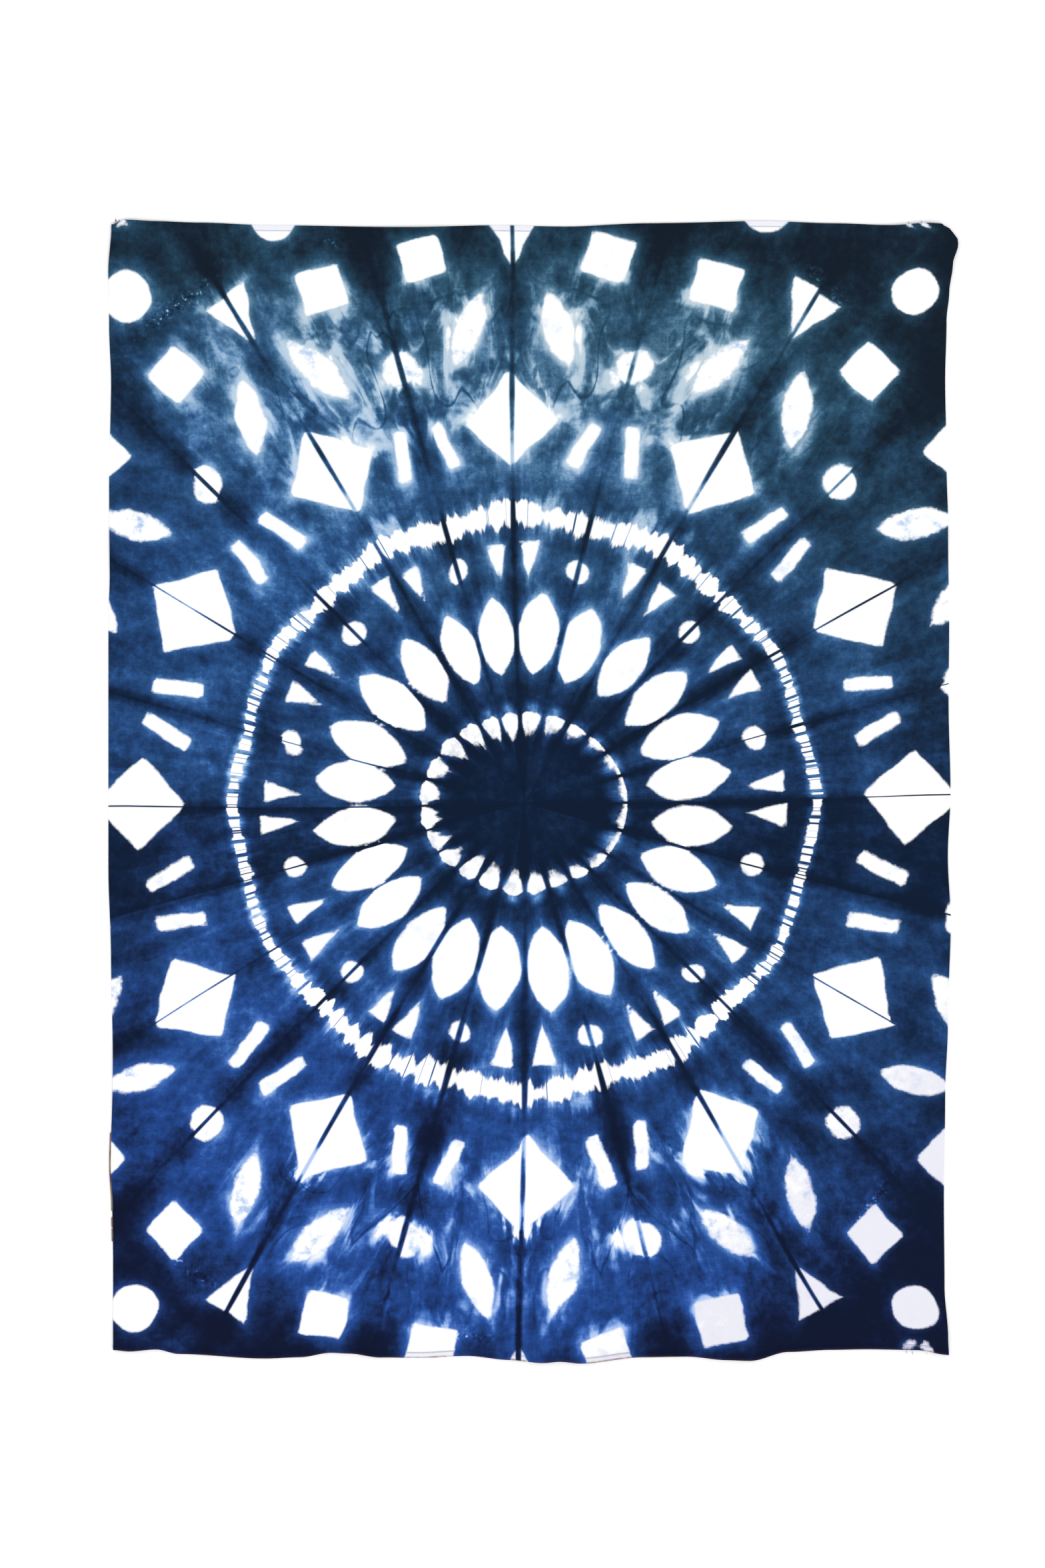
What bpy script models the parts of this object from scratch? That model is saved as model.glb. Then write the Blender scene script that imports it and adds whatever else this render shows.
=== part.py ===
"""Dyed cotton cloth: one hemmed panel lying flat and face up, with the low creases of its folding.

Metres, +Z up. The cloth rests on z = 0, +Y runs to its top edge and +X to its right edge.
The origin is on the resting surface, under the middle of the cloth's outline.
"""

import math
from typing import NamedTuple

import bmesh
import bpy
from mathutils.geometry import delaunay_2d_cdt

MM = 0.001

# Driving dimensions of the panel
CLOTH_WIDTH = 1.140
CLOTH_LENGTH = 1.540
CLOTH_THICKNESS = 0.0012
HEM_WIDTH = 0.006
HEM_THICKNESS = 0.0024
HEM_STEP = 0.002

# How deep into the panel the wander of an edge is still felt
EDGE_PULL = 0.150

# The folds meet here, seen from the middle of the panel
FOLD_CENTRE_X = -0.006
FOLD_CENTRE_Y = -0.018

# Spacing of the points that carry the surface
EDGE_SPACING = 0.026
CREST_SPACING = 0.045
FILL_SPACING = 0.058
FILL_CLEARANCE = 0.024
FOLD_END_CLEARANCE = 0.020
MIDDLE_RINGS = ((0.45, 8), (1.0, 12))
MERGE_DISTANCE = 0.0001


class EdgePoint(NamedTuple):
    """A place along an edge and how far the edge stands out from the straight line there, in mm."""

    along: float
    out: float


class Fold(NamedTuple):
    """A raised fold that runs out from where the folds meet: degrees, then mm."""

    angle: float
    height: float
    half_width: float
    start: float
    end: float
    sway: float


class Swell(NamedTuple):
    """A broad soft lift of the cloth: its middle from the panel's middle, height and radius, in mm."""

    x: float
    y: float
    height: float
    radius: float


# Top and bottom edges are read from the left, side edges from the top
TOP_EDGE = (
    EdgePoint(0, -1.0),
    EdgePoint(20, 5.4),
    EdgePoint(60, 3.6),
    EdgePoint(123, 1.8),
    EdgePoint(218, -1.8),
    EdgePoint(413, -4.5),
    EdgePoint(522, -1.8),
    EdgePoint(620, -3.6),
    EdgePoint(731, 0.9),
    EdgePoint(889, 3.6),
    EdgePoint(987, 0.9),
    EdgePoint(1071, -1.8),
    EdgePoint(1121, 0.9),
    EdgePoint(1140, 0.0),
)
RIGHT_EDGE = (
    EdgePoint(0, -8.0),
    EdgePoint(9, 4.5),
    EdgePoint(20, 13.6),
    EdgePoint(28, 14.5),
    EdgePoint(55, 7.3),
    EdgePoint(93, 2.7),
    EdgePoint(132, -0.9),
    EdgePoint(212, -2.7),
    EdgePoint(322, -0.9),
    EdgePoint(411, 0.9),
    EdgePoint(547, 2.7),
    EdgePoint(643, 1.8),
    EdgePoint(774, 4.5),
    EdgePoint(860, 0.9),
    EdgePoint(952, 4.5),
    EdgePoint(1092, 0.9),
    EdgePoint(1183, -2.7),
    EdgePoint(1330, -4.5),
    EdgePoint(1446, -3.6),
    EdgePoint(1518, 0.9),
    EdgePoint(1540, 1.8),
)
BOTTOM_EDGE = (
    EdgePoint(0, -8.2),
    EdgePoint(22, -6.4),
    EdgePoint(60, -9.1),
    EdgePoint(93, -2.7),
    EdgePoint(212, 3.6),
    EdgePoint(259, 1.8),
    EdgePoint(302, -4.5),
    EdgePoint(327, -3.6),
    EdgePoint(368, 1.8),
    EdgePoint(421, 2.7),
    EdgePoint(486, 0.0),
    EdgePoint(544, 5.4),
    EdgePoint(590, 9.1),
    EdgePoint(612, 7.3),
    EdgePoint(642, 10.0),
    EdgePoint(726, 1.8),
    EdgePoint(785, 0.9),
    EdgePoint(840, 5.4),
    EdgePoint(872, 6.4),
    EdgePoint(924, -5.4),
    EdgePoint(981, -8.2),
    EdgePoint(1030, -9.1),
    EdgePoint(1097, -8.2),
    EdgePoint(1140, -1.8),
)
LEFT_EDGE = (
    EdgePoint(0, -2.7),
    EdgePoint(66, 1.8),
    EdgePoint(139, 0.9),
    EdgePoint(216, -1.8),
    EdgePoint(357, 0.9),
    EdgePoint(476, 0.0),
    EdgePoint(539, 1.8),
    EdgePoint(878, 1.8),
    EdgePoint(1001, -1.8),
    EdgePoint(1150, -4.5),
    EdgePoint(1282, -0.9),
    EdgePoint(1337, -3.6),
    EdgePoint(1410, -4.5),
    EdgePoint(1540, -4.8),
)

# Counted anticlockwise from +X; every second fold stands up, and the ones between lie flat
FOLDS = (
    Fold(angle=1.2, height=2.1, half_width=20, start=96, end=545, sway=-3),
    Fold(angle=30.4, height=1.4, half_width=16, start=120, end=600, sway=4),
    Fold(angle=60.0, height=1.8, half_width=18, start=110, end=820, sway=6),
    Fold(angle=91.2, height=2.4, half_width=20, start=98, end=740, sway=8),
    Fold(angle=120.6, height=1.5, half_width=17, start=130, end=790, sway=-5),
    Fold(angle=149.5, height=1.3, half_width=16, start=118, end=590, sway=3),
    Fold(angle=180.4, height=2.0, half_width=19, start=100, end=540, sway=4),
    Fold(angle=210.8, height=1.6, half_width=17, start=112, end=610, sway=-4),
    Fold(angle=239.6, height=2.0, half_width=19, start=108, end=800, sway=-7),
    Fold(angle=269.4, height=2.5, half_width=20, start=100, end=720, sway=5),
    Fold(angle=300.3, height=1.9, half_width=18, start=114, end=790, sway=6),
    Fold(angle=329.2, height=1.4, half_width=16, start=126, end=600, sway=-3),
)

SWELLS = (
    Swell(x=-6, y=-18, height=1.8, radius=62),
    Swell(x=548, y=742, height=4.2, radius=95),
    Swell(x=-545, y=745, height=2.6, radius=90),
    Swell(x=-540, y=-748, height=2.2, radius=85),
    Swell(x=556, y=-752, height=3.0, radius=80),
    Swell(x=38, y=-765, height=3.2, radius=90),
    Swell(x=285, y=-760, height=2.0, radius=70),
    Swell(x=-236, y=-766, height=1.8, radius=65),
    Swell(x=-150, y=768, height=1.6, radius=80),
    Swell(x=318, y=770, height=1.8, radius=85),
    Swell(x=572, y=-175, height=1.9, radius=75),
    Swell(x=-570, y=-390, height=1.7, radius=80),
    Swell(x=-568, y=330, height=1.5, radius=70),
    Swell(x=566, y=360, height=1.6, radius=75),
)

# Finish
DYED_BLUE = (0.018, 0.052, 0.150, 1.0)
CLOTH_ROUGHNESS = 0.85


def smooth(share: float) -> float:
    """Ease from 0 to 1 with a level start and end."""
    share = min(max(share, 0.0), 1.0)
    return share * share * (3.0 - 2.0 * share)


def bell(share: float) -> float:
    """A soft hump: 1 in the middle and 0 from a share of 1 outwards."""
    return 0.5 * (1.0 + math.cos(math.pi * min(abs(share), 1.0)))


def edge_out(edge: tuple, along: float) -> float:
    """How far an edge stands out at a place along it, in metres."""
    for near, far in zip(edge, edge[1:]):
        if along <= far.along * MM:
            share = (along / MM - near.along) / (far.along - near.along)
            return (near.out + (far.out - near.out) * smooth(share)) * MM
    return edge[-1].out * MM


def pull(distance: float) -> float:
    """How much of an edge's wander reaches a point at a distance from that edge."""
    return smooth(1.0 - distance / EDGE_PULL)


def wandered(x: float, y: float) -> tuple:
    """A point of the straight rectangle, moved with the uneven edges of the cloth."""
    from_left = x + CLOTH_WIDTH / 2
    from_right = CLOTH_WIDTH / 2 - x
    from_top = CLOTH_LENGTH / 2 - y
    from_bottom = y + CLOTH_LENGTH / 2
    right = edge_out(RIGHT_EDGE, from_top) * pull(from_right)
    left = edge_out(LEFT_EDGE, from_top) * pull(from_left)
    top = edge_out(TOP_EDGE, from_left) * pull(from_top)
    bottom = edge_out(BOTTOM_EDGE, from_left) * pull(from_bottom)
    return x + right - left, y + top - bottom


def fold_point(fold: Fold, along: float, aside: float) -> tuple:
    """A point beside a fold's crest, in the flat rectangle."""
    angle = math.radians(fold.angle)
    aside += fold.sway * MM * math.sin(math.pi * along / (fold.end * MM))
    x = FOLD_CENTRE_X + along * math.cos(angle) - aside * math.sin(angle)
    y = FOLD_CENTRE_Y + along * math.sin(angle) + aside * math.cos(angle)
    return x, y


def fold_lift(fold: Fold, x: float, y: float) -> float:
    """How high one fold raises the cloth at a point."""
    angle = math.radians(fold.angle)
    dx = x - FOLD_CENTRE_X
    dy = y - FOLD_CENTRE_Y
    along = (dx * math.cos(angle) + dy * math.sin(angle)) / MM
    if not 0.0 < along < fold.end:
        return 0.0
    aside = (dy * math.cos(angle) - dx * math.sin(angle)) / MM
    aside -= fold.sway * math.sin(math.pi * along / fold.end)
    ends = smooth(along / fold.start) * smooth((fold.end - along) / (0.3 * fold.end))
    uneven = 0.8 + 0.2 * math.cos(along / 45.0 + fold.angle)
    return fold.height * MM * bell(aside / fold.half_width) * ends * uneven


def lift(x: float, y: float) -> float:
    """Height of the cloth's underside above the surface that it lies on."""
    raised = [fold_lift(fold, x, y) for fold in FOLDS]
    for swell in SWELLS:
        distance = math.hypot(x - swell.x * MM, y - swell.y * MM)
        raised.append(swell.height * MM * bell(distance / (swell.radius * MM)))
    return max(raised)


def thickness(y: float) -> float:
    """Thickness of the cloth: one layer, or the turned hem along the top and bottom edges."""
    from_edge = CLOTH_LENGTH / 2 - abs(y)
    share = (from_edge - HEM_WIDTH) / HEM_STEP
    return HEM_THICKNESS + (CLOTH_THICKNESS - HEM_THICKNESS) * smooth(share)


def spaced(stops: list, spacing: float) -> list:
    """Places that hold every stop, with no step between them longer than the spacing."""
    places = [stops[0]]
    for near, far in zip(stops, stops[1:]):
        steps = math.ceil((far - near) / spacing - MERGE_DISTANCE)
        places += [near + (far - near) * step / steps for step in range(1, steps + 1)]
    return places


def along_edge(edge: tuple) -> list:
    """Places along an edge, with one at each row of its table."""
    return spaced([point.along * MM for point in edge], EDGE_SPACING)


class Layout:
    """Points and lines of the flat panel, before they are joined by triangles."""

    def __init__(self) -> None:
        self.points: list = []
        self.lines: list = []

    def line(self, points: list, closed: bool = False) -> None:
        """Add points joined one after another."""
        first = len(self.points)
        self.points += points
        last = len(self.points) - 1
        self.lines += [(index, index + 1) for index in range(first, last)]
        if closed:
            self.lines.append((last, first))

    def clear_of(self, x: float, y: float, distance: float) -> bool:
        """Whether a place is at least a distance from every point so far."""
        return all(math.hypot(x - px, y - py) > distance for px, py in self.points)


def lay_edges(layout: Layout) -> None:
    """The outline, and the two lines along each hem where its thickness steps down."""
    half_width = CLOTH_WIDTH / 2
    half_length = CLOTH_LENGTH / 2
    hem_rows = [0.0, HEM_WIDTH, HEM_WIDTH + HEM_STEP]
    body_start = hem_rows[-1]
    body_end = CLOTH_LENGTH - body_start
    for edge, side in ((LEFT_EDGE, -half_width), (RIGHT_EDGE, half_width)):
        body = [row for row in along_edge(edge) if body_start + MM < row < body_end - MM]
        downs = spaced([body_start] + body + [body_end], EDGE_SPACING)
        layout.line([(side, half_length - down) for down in downs])
    for edge, way in ((TOP_EDGE, 1.0), (BOTTOM_EDGE, -1.0)):
        acrosses = [place - half_width for place in along_edge(edge)]
        for depth in hem_rows:
            layout.line([(across, way * (half_length - depth)) for across in acrosses])
        for side in (-half_width, half_width):
            layout.line([(side, way * (half_length - depth)) for depth in hem_rows])


def lay_folds(layout: Layout) -> None:
    """The crest of each raised fold and the feet on its two sides."""
    for fold in FOLDS:
        start = fold.start * MM
        end = fold.end * MM
        places = spaced([start, end - FOLD_END_CLEARANCE], CREST_SPACING)
        for share in (-1.0, 0.0, 1.0):
            aside = share * fold.half_width * MM
            layout.line([fold_point(fold, place, aside) for place in places])


def lay_middle(layout: Layout) -> None:
    """The top of the swell where the folds meet, and two rings round it."""
    middle = SWELLS[0]
    layout.points.append((middle.x * MM, middle.y * MM))
    for share, count in MIDDLE_RINGS:
        radius = middle.radius * share
        turns = [math.tau * step / count for step in range(count)]
        steps = [(radius * math.cos(turn), radius * math.sin(turn)) for turn in turns]
        layout.line([((middle.x + dx) * MM, (middle.y + dy) * MM) for dx, dy in steps], closed=True)


def lay_filling(layout: Layout) -> None:
    """Points between the lines, in staggered rows."""
    row_step = FILL_SPACING * math.sqrt(0.75)
    rows = int(CLOTH_LENGTH / row_step)
    columns = int(CLOTH_WIDTH / FILL_SPACING) + 1
    for row in range(1, rows):
        y = -CLOTH_LENGTH / 2 + row * CLOTH_LENGTH / rows
        shift = 0.5 * (row % 2)
        for column in range(columns):
            x = -CLOTH_WIDTH / 2 + (column + shift) * CLOTH_WIDTH / columns
            if layout.clear_of(x, y, FILL_CLEARANCE):
                layout.points.append((x, y))


def flat_panel() -> tuple:
    """The flat panel as points and triangles, counted anticlockwise from above."""
    layout = Layout()
    lay_edges(layout)
    lay_folds(layout)
    lay_middle(layout)
    lay_filling(layout)
    points, _, triangles, *_ = delaunay_2d_cdt(layout.points, layout.lines, [], 1, MERGE_DISTANCE)
    return [(point[0], point[1]) for point in points], triangles


def middle_of(points: list) -> tuple:
    """Middle of the box round some points."""
    xs = [x for x, _ in points]
    ys = [y for _, y in points]
    return (min(xs) + max(xs)) / 2, (min(ys) + max(ys)) / 2


def cloth_material() -> bpy.types.Material:
    """Indigo-dyed cotton."""
    material = bpy.data.materials.new("dyed cotton")
    material.use_nodes = True
    shader = material.node_tree.nodes["Principled BSDF"]
    shader.inputs["Base Color"].default_value = DYED_BLUE
    shader.inputs["Roughness"].default_value = CLOTH_ROUGHNESS
    shader.inputs["Metallic"].default_value = 0.0
    return material


def make_cloth() -> bpy.types.Object:
    """One closed solid: the underside, the face above it, and the thin rim between them."""
    flat, triangles = flat_panel()
    outline = [wandered(x, y) for x, y in flat]
    middle_x, middle_y = middle_of(outline)
    shape = bmesh.new()
    under = []
    face = []
    for (x, y), (out_x, out_y) in zip(flat, outline):
        bottom = lift(x, y)
        place = (out_x - middle_x, out_y - middle_y)
        under.append(shape.verts.new((*place, bottom)))
        face.append(shape.verts.new((*place, bottom + thickness(y))))
    steps = set()
    for a, b, c in triangles:
        shape.faces.new((face[a], face[b], face[c]))
        shape.faces.new((under[c], under[b], under[a]))
        steps |= {(a, b), (b, c), (c, a)}
    rim = [(a, b) for a, b in sorted(steps) if (b, a) not in steps]
    for a, b in rim:
        shape.faces.new((under[a], under[b], face[b], face[a]))
    mesh = bpy.data.meshes.new("cloth")
    shape.to_mesh(mesh)
    shape.free()
    mesh.materials.append(cloth_material())
    mesh.shade_smooth()
    mesh.set_sharp_from_angle(angle=math.radians(40))
    cloth = bpy.data.objects.new("cloth", mesh)
    bpy.context.collection.objects.link(cloth)
    return cloth


def main() -> None:
    """Clear the scene and lay out the cloth."""
    for item in list(bpy.data.objects):
        bpy.data.objects.remove(item, do_unlink=True)
    make_cloth()


main()
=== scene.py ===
"""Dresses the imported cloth: a thin cotton sheet on the solid's low folds, resist-dyed in indigo.

Metres, +Z up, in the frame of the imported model: the cloth rests on z = 0, +Y runs to its top edge
and +X to its right edge. The dyed design is worked out on the cloth as its dyer folded it: in half,
in quarters and on into twenty-four wedges that all meet at one point. What is clamped or bound on
one wedge prints through them all, each wedge a mirror image of the next.
"""

import logging
import math
from collections.abc import Callable
from dataclasses import dataclass, field
from enum import Enum
from typing import NamedTuple

import bmesh
import bpy
import numpy as np
from bpy.types import Material, Node, NodeSocket as Socket, Object
from numpy import ndarray as Array
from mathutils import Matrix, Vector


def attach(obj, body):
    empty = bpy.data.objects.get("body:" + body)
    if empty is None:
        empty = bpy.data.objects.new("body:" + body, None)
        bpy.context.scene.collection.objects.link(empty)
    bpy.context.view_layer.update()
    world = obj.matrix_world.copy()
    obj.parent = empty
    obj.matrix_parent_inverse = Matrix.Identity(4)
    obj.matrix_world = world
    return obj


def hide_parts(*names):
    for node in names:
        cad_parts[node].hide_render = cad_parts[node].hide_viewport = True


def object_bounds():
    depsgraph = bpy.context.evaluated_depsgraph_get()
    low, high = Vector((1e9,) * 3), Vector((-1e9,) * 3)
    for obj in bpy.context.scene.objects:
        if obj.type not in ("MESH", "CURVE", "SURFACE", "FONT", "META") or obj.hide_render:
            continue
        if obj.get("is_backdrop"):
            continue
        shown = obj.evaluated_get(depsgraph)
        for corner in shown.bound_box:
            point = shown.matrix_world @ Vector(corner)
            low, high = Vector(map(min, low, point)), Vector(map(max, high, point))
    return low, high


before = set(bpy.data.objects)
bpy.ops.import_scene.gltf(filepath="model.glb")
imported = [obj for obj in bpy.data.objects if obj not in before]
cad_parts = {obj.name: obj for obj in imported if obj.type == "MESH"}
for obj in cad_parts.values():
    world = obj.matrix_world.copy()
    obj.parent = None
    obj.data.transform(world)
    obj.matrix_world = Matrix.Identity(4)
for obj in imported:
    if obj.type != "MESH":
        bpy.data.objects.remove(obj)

CAD_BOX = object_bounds()
MM = 0.001
SEED = 41

log = logging.getLogger("cloth")


class EdgePoint(NamedTuple):
    """A place along an edge and how far the edge stands out from the straight line there, in mm."""

    along: float
    out: float


class Fold(NamedTuple):
    """A raised fold that runs out from where the folds meet: degrees, then mm."""

    angle: float
    height: float
    half_width: float
    start: float
    end: float
    sway: float


class Swell(NamedTuple):
    """A broad soft lift of the cloth: its middle from the panel's middle, height and radius, in mm."""

    x: float
    y: float
    height: float
    radius: float


class Wrinkle(NamedTuple):
    """A short low ridge pressed into the cloth: its middle and direction, then its size, in mm."""

    x: float
    y: float
    angle: float
    length: float
    half_width: float
    height: float


class Outline(Enum):
    """Outlines of the boards and blocks that are clamped on the folded cloth."""

    DISC = "round block"
    PLATE = "square or straight board"
    LEAF = "pointed oval board"
    WEDGE = "three-sided board"


class Clamp(NamedTuple):
    """One clamped board: where it sits on the folded wedge, its size and how much dye creeps under it.

    Reach is its distance from where the folds meet and turn its angle from the wedge's even fold.
    Length runs outwards and width across, in mm; tilt is in degrees.
    """

    outline: Outline
    reach: float
    turn: float
    length: float
    width: float
    tilt: float
    creep: float


class Binding(NamedTuple):
    """One thread binding: its reach across and along the cloth, its half width and rag, in mm.

    The side values hold near the cloth's left and right, the end values towards its top and bottom.
    Slant is how much further out the binding sits on the even folds than on the odd ones, and inward
    how many times further its feathered edge runs inwards than outwards. Past its edge the white fades
    out over the soft distance near the top and bottom, and the streaks reach as far as their own.
    """

    reach_x: float
    reach_y: float
    side_half_width: float
    end_half_width: float
    side_rag: float
    end_rag: float
    slant: float
    inward: float
    soft: float
    streaks: float


class Nick(NamedTuple):
    """A small white spot where a pin held the layers at an edge: its place and size in mm."""

    x: float
    y: float
    radius: float
    creep: float


class LooseThread(NamedTuple):
    """A frayed end of thread: where it leaves the cloth, its direction, length and bend, in mm."""

    x: float
    y: float
    angle: float
    length: float
    bend: float


class Crackle(NamedTuple):
    """A crumpled crease that the dye got into in specks: its middle, direction and size in mm."""

    x: float
    y: float
    angle: float
    length: float
    half_width: float


# Top and bottom edges are read from the left, side edges from the top
TOP_EDGE = (
    EdgePoint(0, -1.0), EdgePoint(20, 5.4), EdgePoint(60, 3.6), EdgePoint(123, 1.8),
    EdgePoint(218, -1.8), EdgePoint(413, -4.5), EdgePoint(522, -1.8), EdgePoint(620, -3.6),
    EdgePoint(731, 0.9), EdgePoint(889, 3.6), EdgePoint(987, 0.9), EdgePoint(1071, -1.8),
    EdgePoint(1121, 0.9), EdgePoint(1140, 0.0),
)
RIGHT_EDGE = (
    EdgePoint(0, -8.0), EdgePoint(9, 4.5), EdgePoint(20, 13.6), EdgePoint(28, 14.5),
    EdgePoint(55, 7.3), EdgePoint(93, 2.7), EdgePoint(132, -0.9), EdgePoint(212, -2.7),
    EdgePoint(322, -0.9), EdgePoint(411, 0.9), EdgePoint(547, 2.7), EdgePoint(643, 1.8),
    EdgePoint(774, 4.5), EdgePoint(860, 0.9), EdgePoint(952, 4.5), EdgePoint(1092, 0.9),
    EdgePoint(1183, -2.7), EdgePoint(1330, -4.5), EdgePoint(1446, -3.6), EdgePoint(1518, 0.9),
    EdgePoint(1540, 1.8),
)
BOTTOM_EDGE = (
    EdgePoint(0, -8.2), EdgePoint(22, -6.4), EdgePoint(60, -9.1), EdgePoint(93, -2.7),
    EdgePoint(212, 3.6), EdgePoint(259, 1.8), EdgePoint(302, -4.5), EdgePoint(327, -3.6),
    EdgePoint(368, 1.8), EdgePoint(421, 2.7), EdgePoint(486, 0.0), EdgePoint(544, 5.4),
    EdgePoint(590, 9.1), EdgePoint(612, 7.3), EdgePoint(642, 10.0), EdgePoint(726, 1.8),
    EdgePoint(785, 0.9), EdgePoint(840, 5.4), EdgePoint(872, 6.4), EdgePoint(924, -5.4),
    EdgePoint(981, -8.2), EdgePoint(1030, -9.1), EdgePoint(1097, -8.2), EdgePoint(1140, -1.8),
)
LEFT_EDGE = (
    EdgePoint(0, -2.7), EdgePoint(66, 1.8), EdgePoint(139, 0.9), EdgePoint(216, -1.8),
    EdgePoint(357, 0.9), EdgePoint(476, 0.0), EdgePoint(539, 1.8), EdgePoint(878, 1.8),
    EdgePoint(1001, -1.8), EdgePoint(1150, -4.5), EdgePoint(1282, -0.9), EdgePoint(1337, -3.6),
    EdgePoint(1410, -4.5), EdgePoint(1540, -4.8),
)

# Counted anticlockwise from +X; these are the even folds, and the odd ones between them lie flat
FOLDS = (
    Fold(angle=1.2, height=2.1, half_width=20, start=96, end=545, sway=-3),
    Fold(angle=30.4, height=1.4, half_width=16, start=120, end=600, sway=4),
    Fold(angle=60.0, height=1.8, half_width=18, start=110, end=820, sway=6),
    Fold(angle=91.2, height=2.4, half_width=20, start=98, end=740, sway=8),
    Fold(angle=120.6, height=1.5, half_width=17, start=130, end=790, sway=-5),
    Fold(angle=149.5, height=1.3, half_width=16, start=118, end=590, sway=3),
    Fold(angle=180.4, height=2.0, half_width=19, start=100, end=540, sway=4),
    Fold(angle=210.8, height=1.6, half_width=17, start=112, end=610, sway=-4),
    Fold(angle=239.6, height=2.0, half_width=19, start=108, end=800, sway=-7),
    Fold(angle=269.4, height=2.5, half_width=20, start=100, end=720, sway=5),
    Fold(angle=300.3, height=1.9, half_width=18, start=114, end=790, sway=6),
    Fold(angle=329.2, height=1.4, half_width=16, start=126, end=600, sway=-3),
)
SWELLS = (
    Swell(x=-6, y=-18, height=1.8, radius=62),
    Swell(x=548, y=742, height=4.2, radius=95),
    Swell(x=-545, y=745, height=2.6, radius=90),
    Swell(x=-540, y=-748, height=2.2, radius=85),
    Swell(x=556, y=-752, height=3.0, radius=80),
    Swell(x=38, y=-765, height=3.2, radius=90),
    Swell(x=285, y=-760, height=2.0, radius=70),
    Swell(x=-236, y=-766, height=1.8, radius=65),
    Swell(x=-150, y=768, height=1.6, radius=80),
    Swell(x=318, y=770, height=1.8, radius=85),
    Swell(x=572, y=-175, height=1.9, radius=75),
    Swell(x=-570, y=-390, height=1.7, radius=80),
    Swell(x=-568, y=330, height=1.5, radius=70),
    Swell(x=566, y=360, height=1.6, radius=75),
)
WRINKLES = (
    Wrinkle(x=505, y=700, angle=48, length=150, half_width=13, height=0.9),
    Wrinkle(x=538, y=672, angle=70, length=120, half_width=11, height=0.7),
    Wrinkle(x=480, y=735, angle=22, length=130, half_width=12, height=0.8),
    Wrinkle(x=-500, y=712, angle=128, length=120, half_width=13, height=0.7),
    Wrinkle(x=40, y=-700, angle=82, length=120, half_width=14, height=0.9),
    Wrinkle(x=-2, y=-728, angle=60, length=80, half_width=12, height=0.7),
    Wrinkle(x=84, y=-722, angle=118, length=90, half_width=12, height=0.7),
    Wrinkle(x=270, y=-716, angle=76, length=90, half_width=13, height=0.8),
    Wrinkle(x=-246, y=-724, angle=98, length=90, half_width=13, height=0.7),
    Wrinkle(x=-505, y=-700, angle=46, length=110, half_width=13, height=0.7),
    Wrinkle(x=512, y=-704, angle=133, length=110, half_width=13, height=0.8),
    Wrinkle(x=520, y=-170, angle=6, length=90, half_width=13, height=0.6),
    Wrinkle(x=-515, y=-392, angle=172, length=90, half_width=13, height=0.6),
    Wrinkle(x=-146, y=716, angle=96, length=80, half_width=13, height=0.6),
    Wrinkle(x=322, y=716, angle=84, length=80, half_width=13, height=0.6),
)

FOLD_COUNT = len(FOLDS)
LAYER_COUNT = 2 * FOLD_COUNT
WEDGE_DEG = 360.0 / LAYER_COUNT

CLAMPS = (
    Clamp(Outline.LEAF, reach=229, turn=7.5, length=112, width=53, tilt=0, creep=0.15),
    Clamp(Outline.WEDGE, reach=331, turn=3.9, length=50, width=29, tilt=0, creep=0.2),
    Clamp(Outline.DISC, reach=325, turn=15.0, length=30, width=30, tilt=0, creep=0.3),
    Clamp(Outline.PLATE, reach=522, turn=0.0, length=92, width=92, tilt=45, creep=0.1),
    Clamp(Outline.PLATE, reach=496, turn=11.3, length=68, width=18, tilt=15, creep=0.3),
    Clamp(Outline.LEAF, reach=650, turn=5.1, length=108, width=39, tilt=-24, creep=0.8),
    Clamp(Outline.DISC, reach=612, turn=15.0, length=48, width=48, tilt=0, creep=0.7),
    Clamp(Outline.PLATE, reach=752, turn=9.3, length=58, width=60, tilt=6, creep=0.15),
    Clamp(Outline.WEDGE, reach=766, turn=0.0, length=72, width=70, tilt=0, creep=0.2),
    Clamp(Outline.DISC, reach=873, turn=7.5, length=66, width=66, tilt=0, creep=0.1),
)
BINDINGS = (
    Binding(
        reach_x=138, reach_y=117, side_half_width=3.2, end_half_width=5.4, side_rag=0.8, end_rag=0.9,
        slant=0, inward=3.6, soft=1.4, streaks=6,
    ),
    Binding(
        reach_x=394, reach_y=392, side_half_width=6.4, end_half_width=11, side_rag=0.9, end_rag=6.5,
        slant=11, inward=1.2, soft=4.2, streaks=18,
    ),
)

NICKS = (
    Nick(x=-561, y=766, radius=1.8, creep=0.5),
    Nick(x=-554, y=768, radius=3.4, creep=0.0),
    Nick(x=-550, y=764, radius=1.9, creep=0.1),
    Nick(x=524, y=769, radius=4.0, creep=0.7),
    Nick(x=543, y=768, radius=4.2, creep=0.7),
    Nick(x=511, y=-765, radius=4.0, creep=1.0),
    Nick(x=519, y=-762, radius=6.2, creep=1.0),
    Nick(x=537, y=-762, radius=5.6, creep=1.0),
    Nick(x=543, y=-767, radius=5.4, creep=0.9),
)
CRACKLES = (
    Crackle(x=-478, y=658, angle=42, length=260, half_width=17),
    Crackle(x=-262, y=748, angle=12, length=90, half_width=10),
    Crackle(x=-462, y=-652, angle=-28, length=190, half_width=13),
    Crackle(x=-80, y=-742, angle=8, length=110, half_width=10),
    Crackle(x=402, y=690, angle=-35, length=170, half_width=13),
    Crackle(x=470, y=-560, angle=62, length=150, half_width=12),
)
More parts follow.
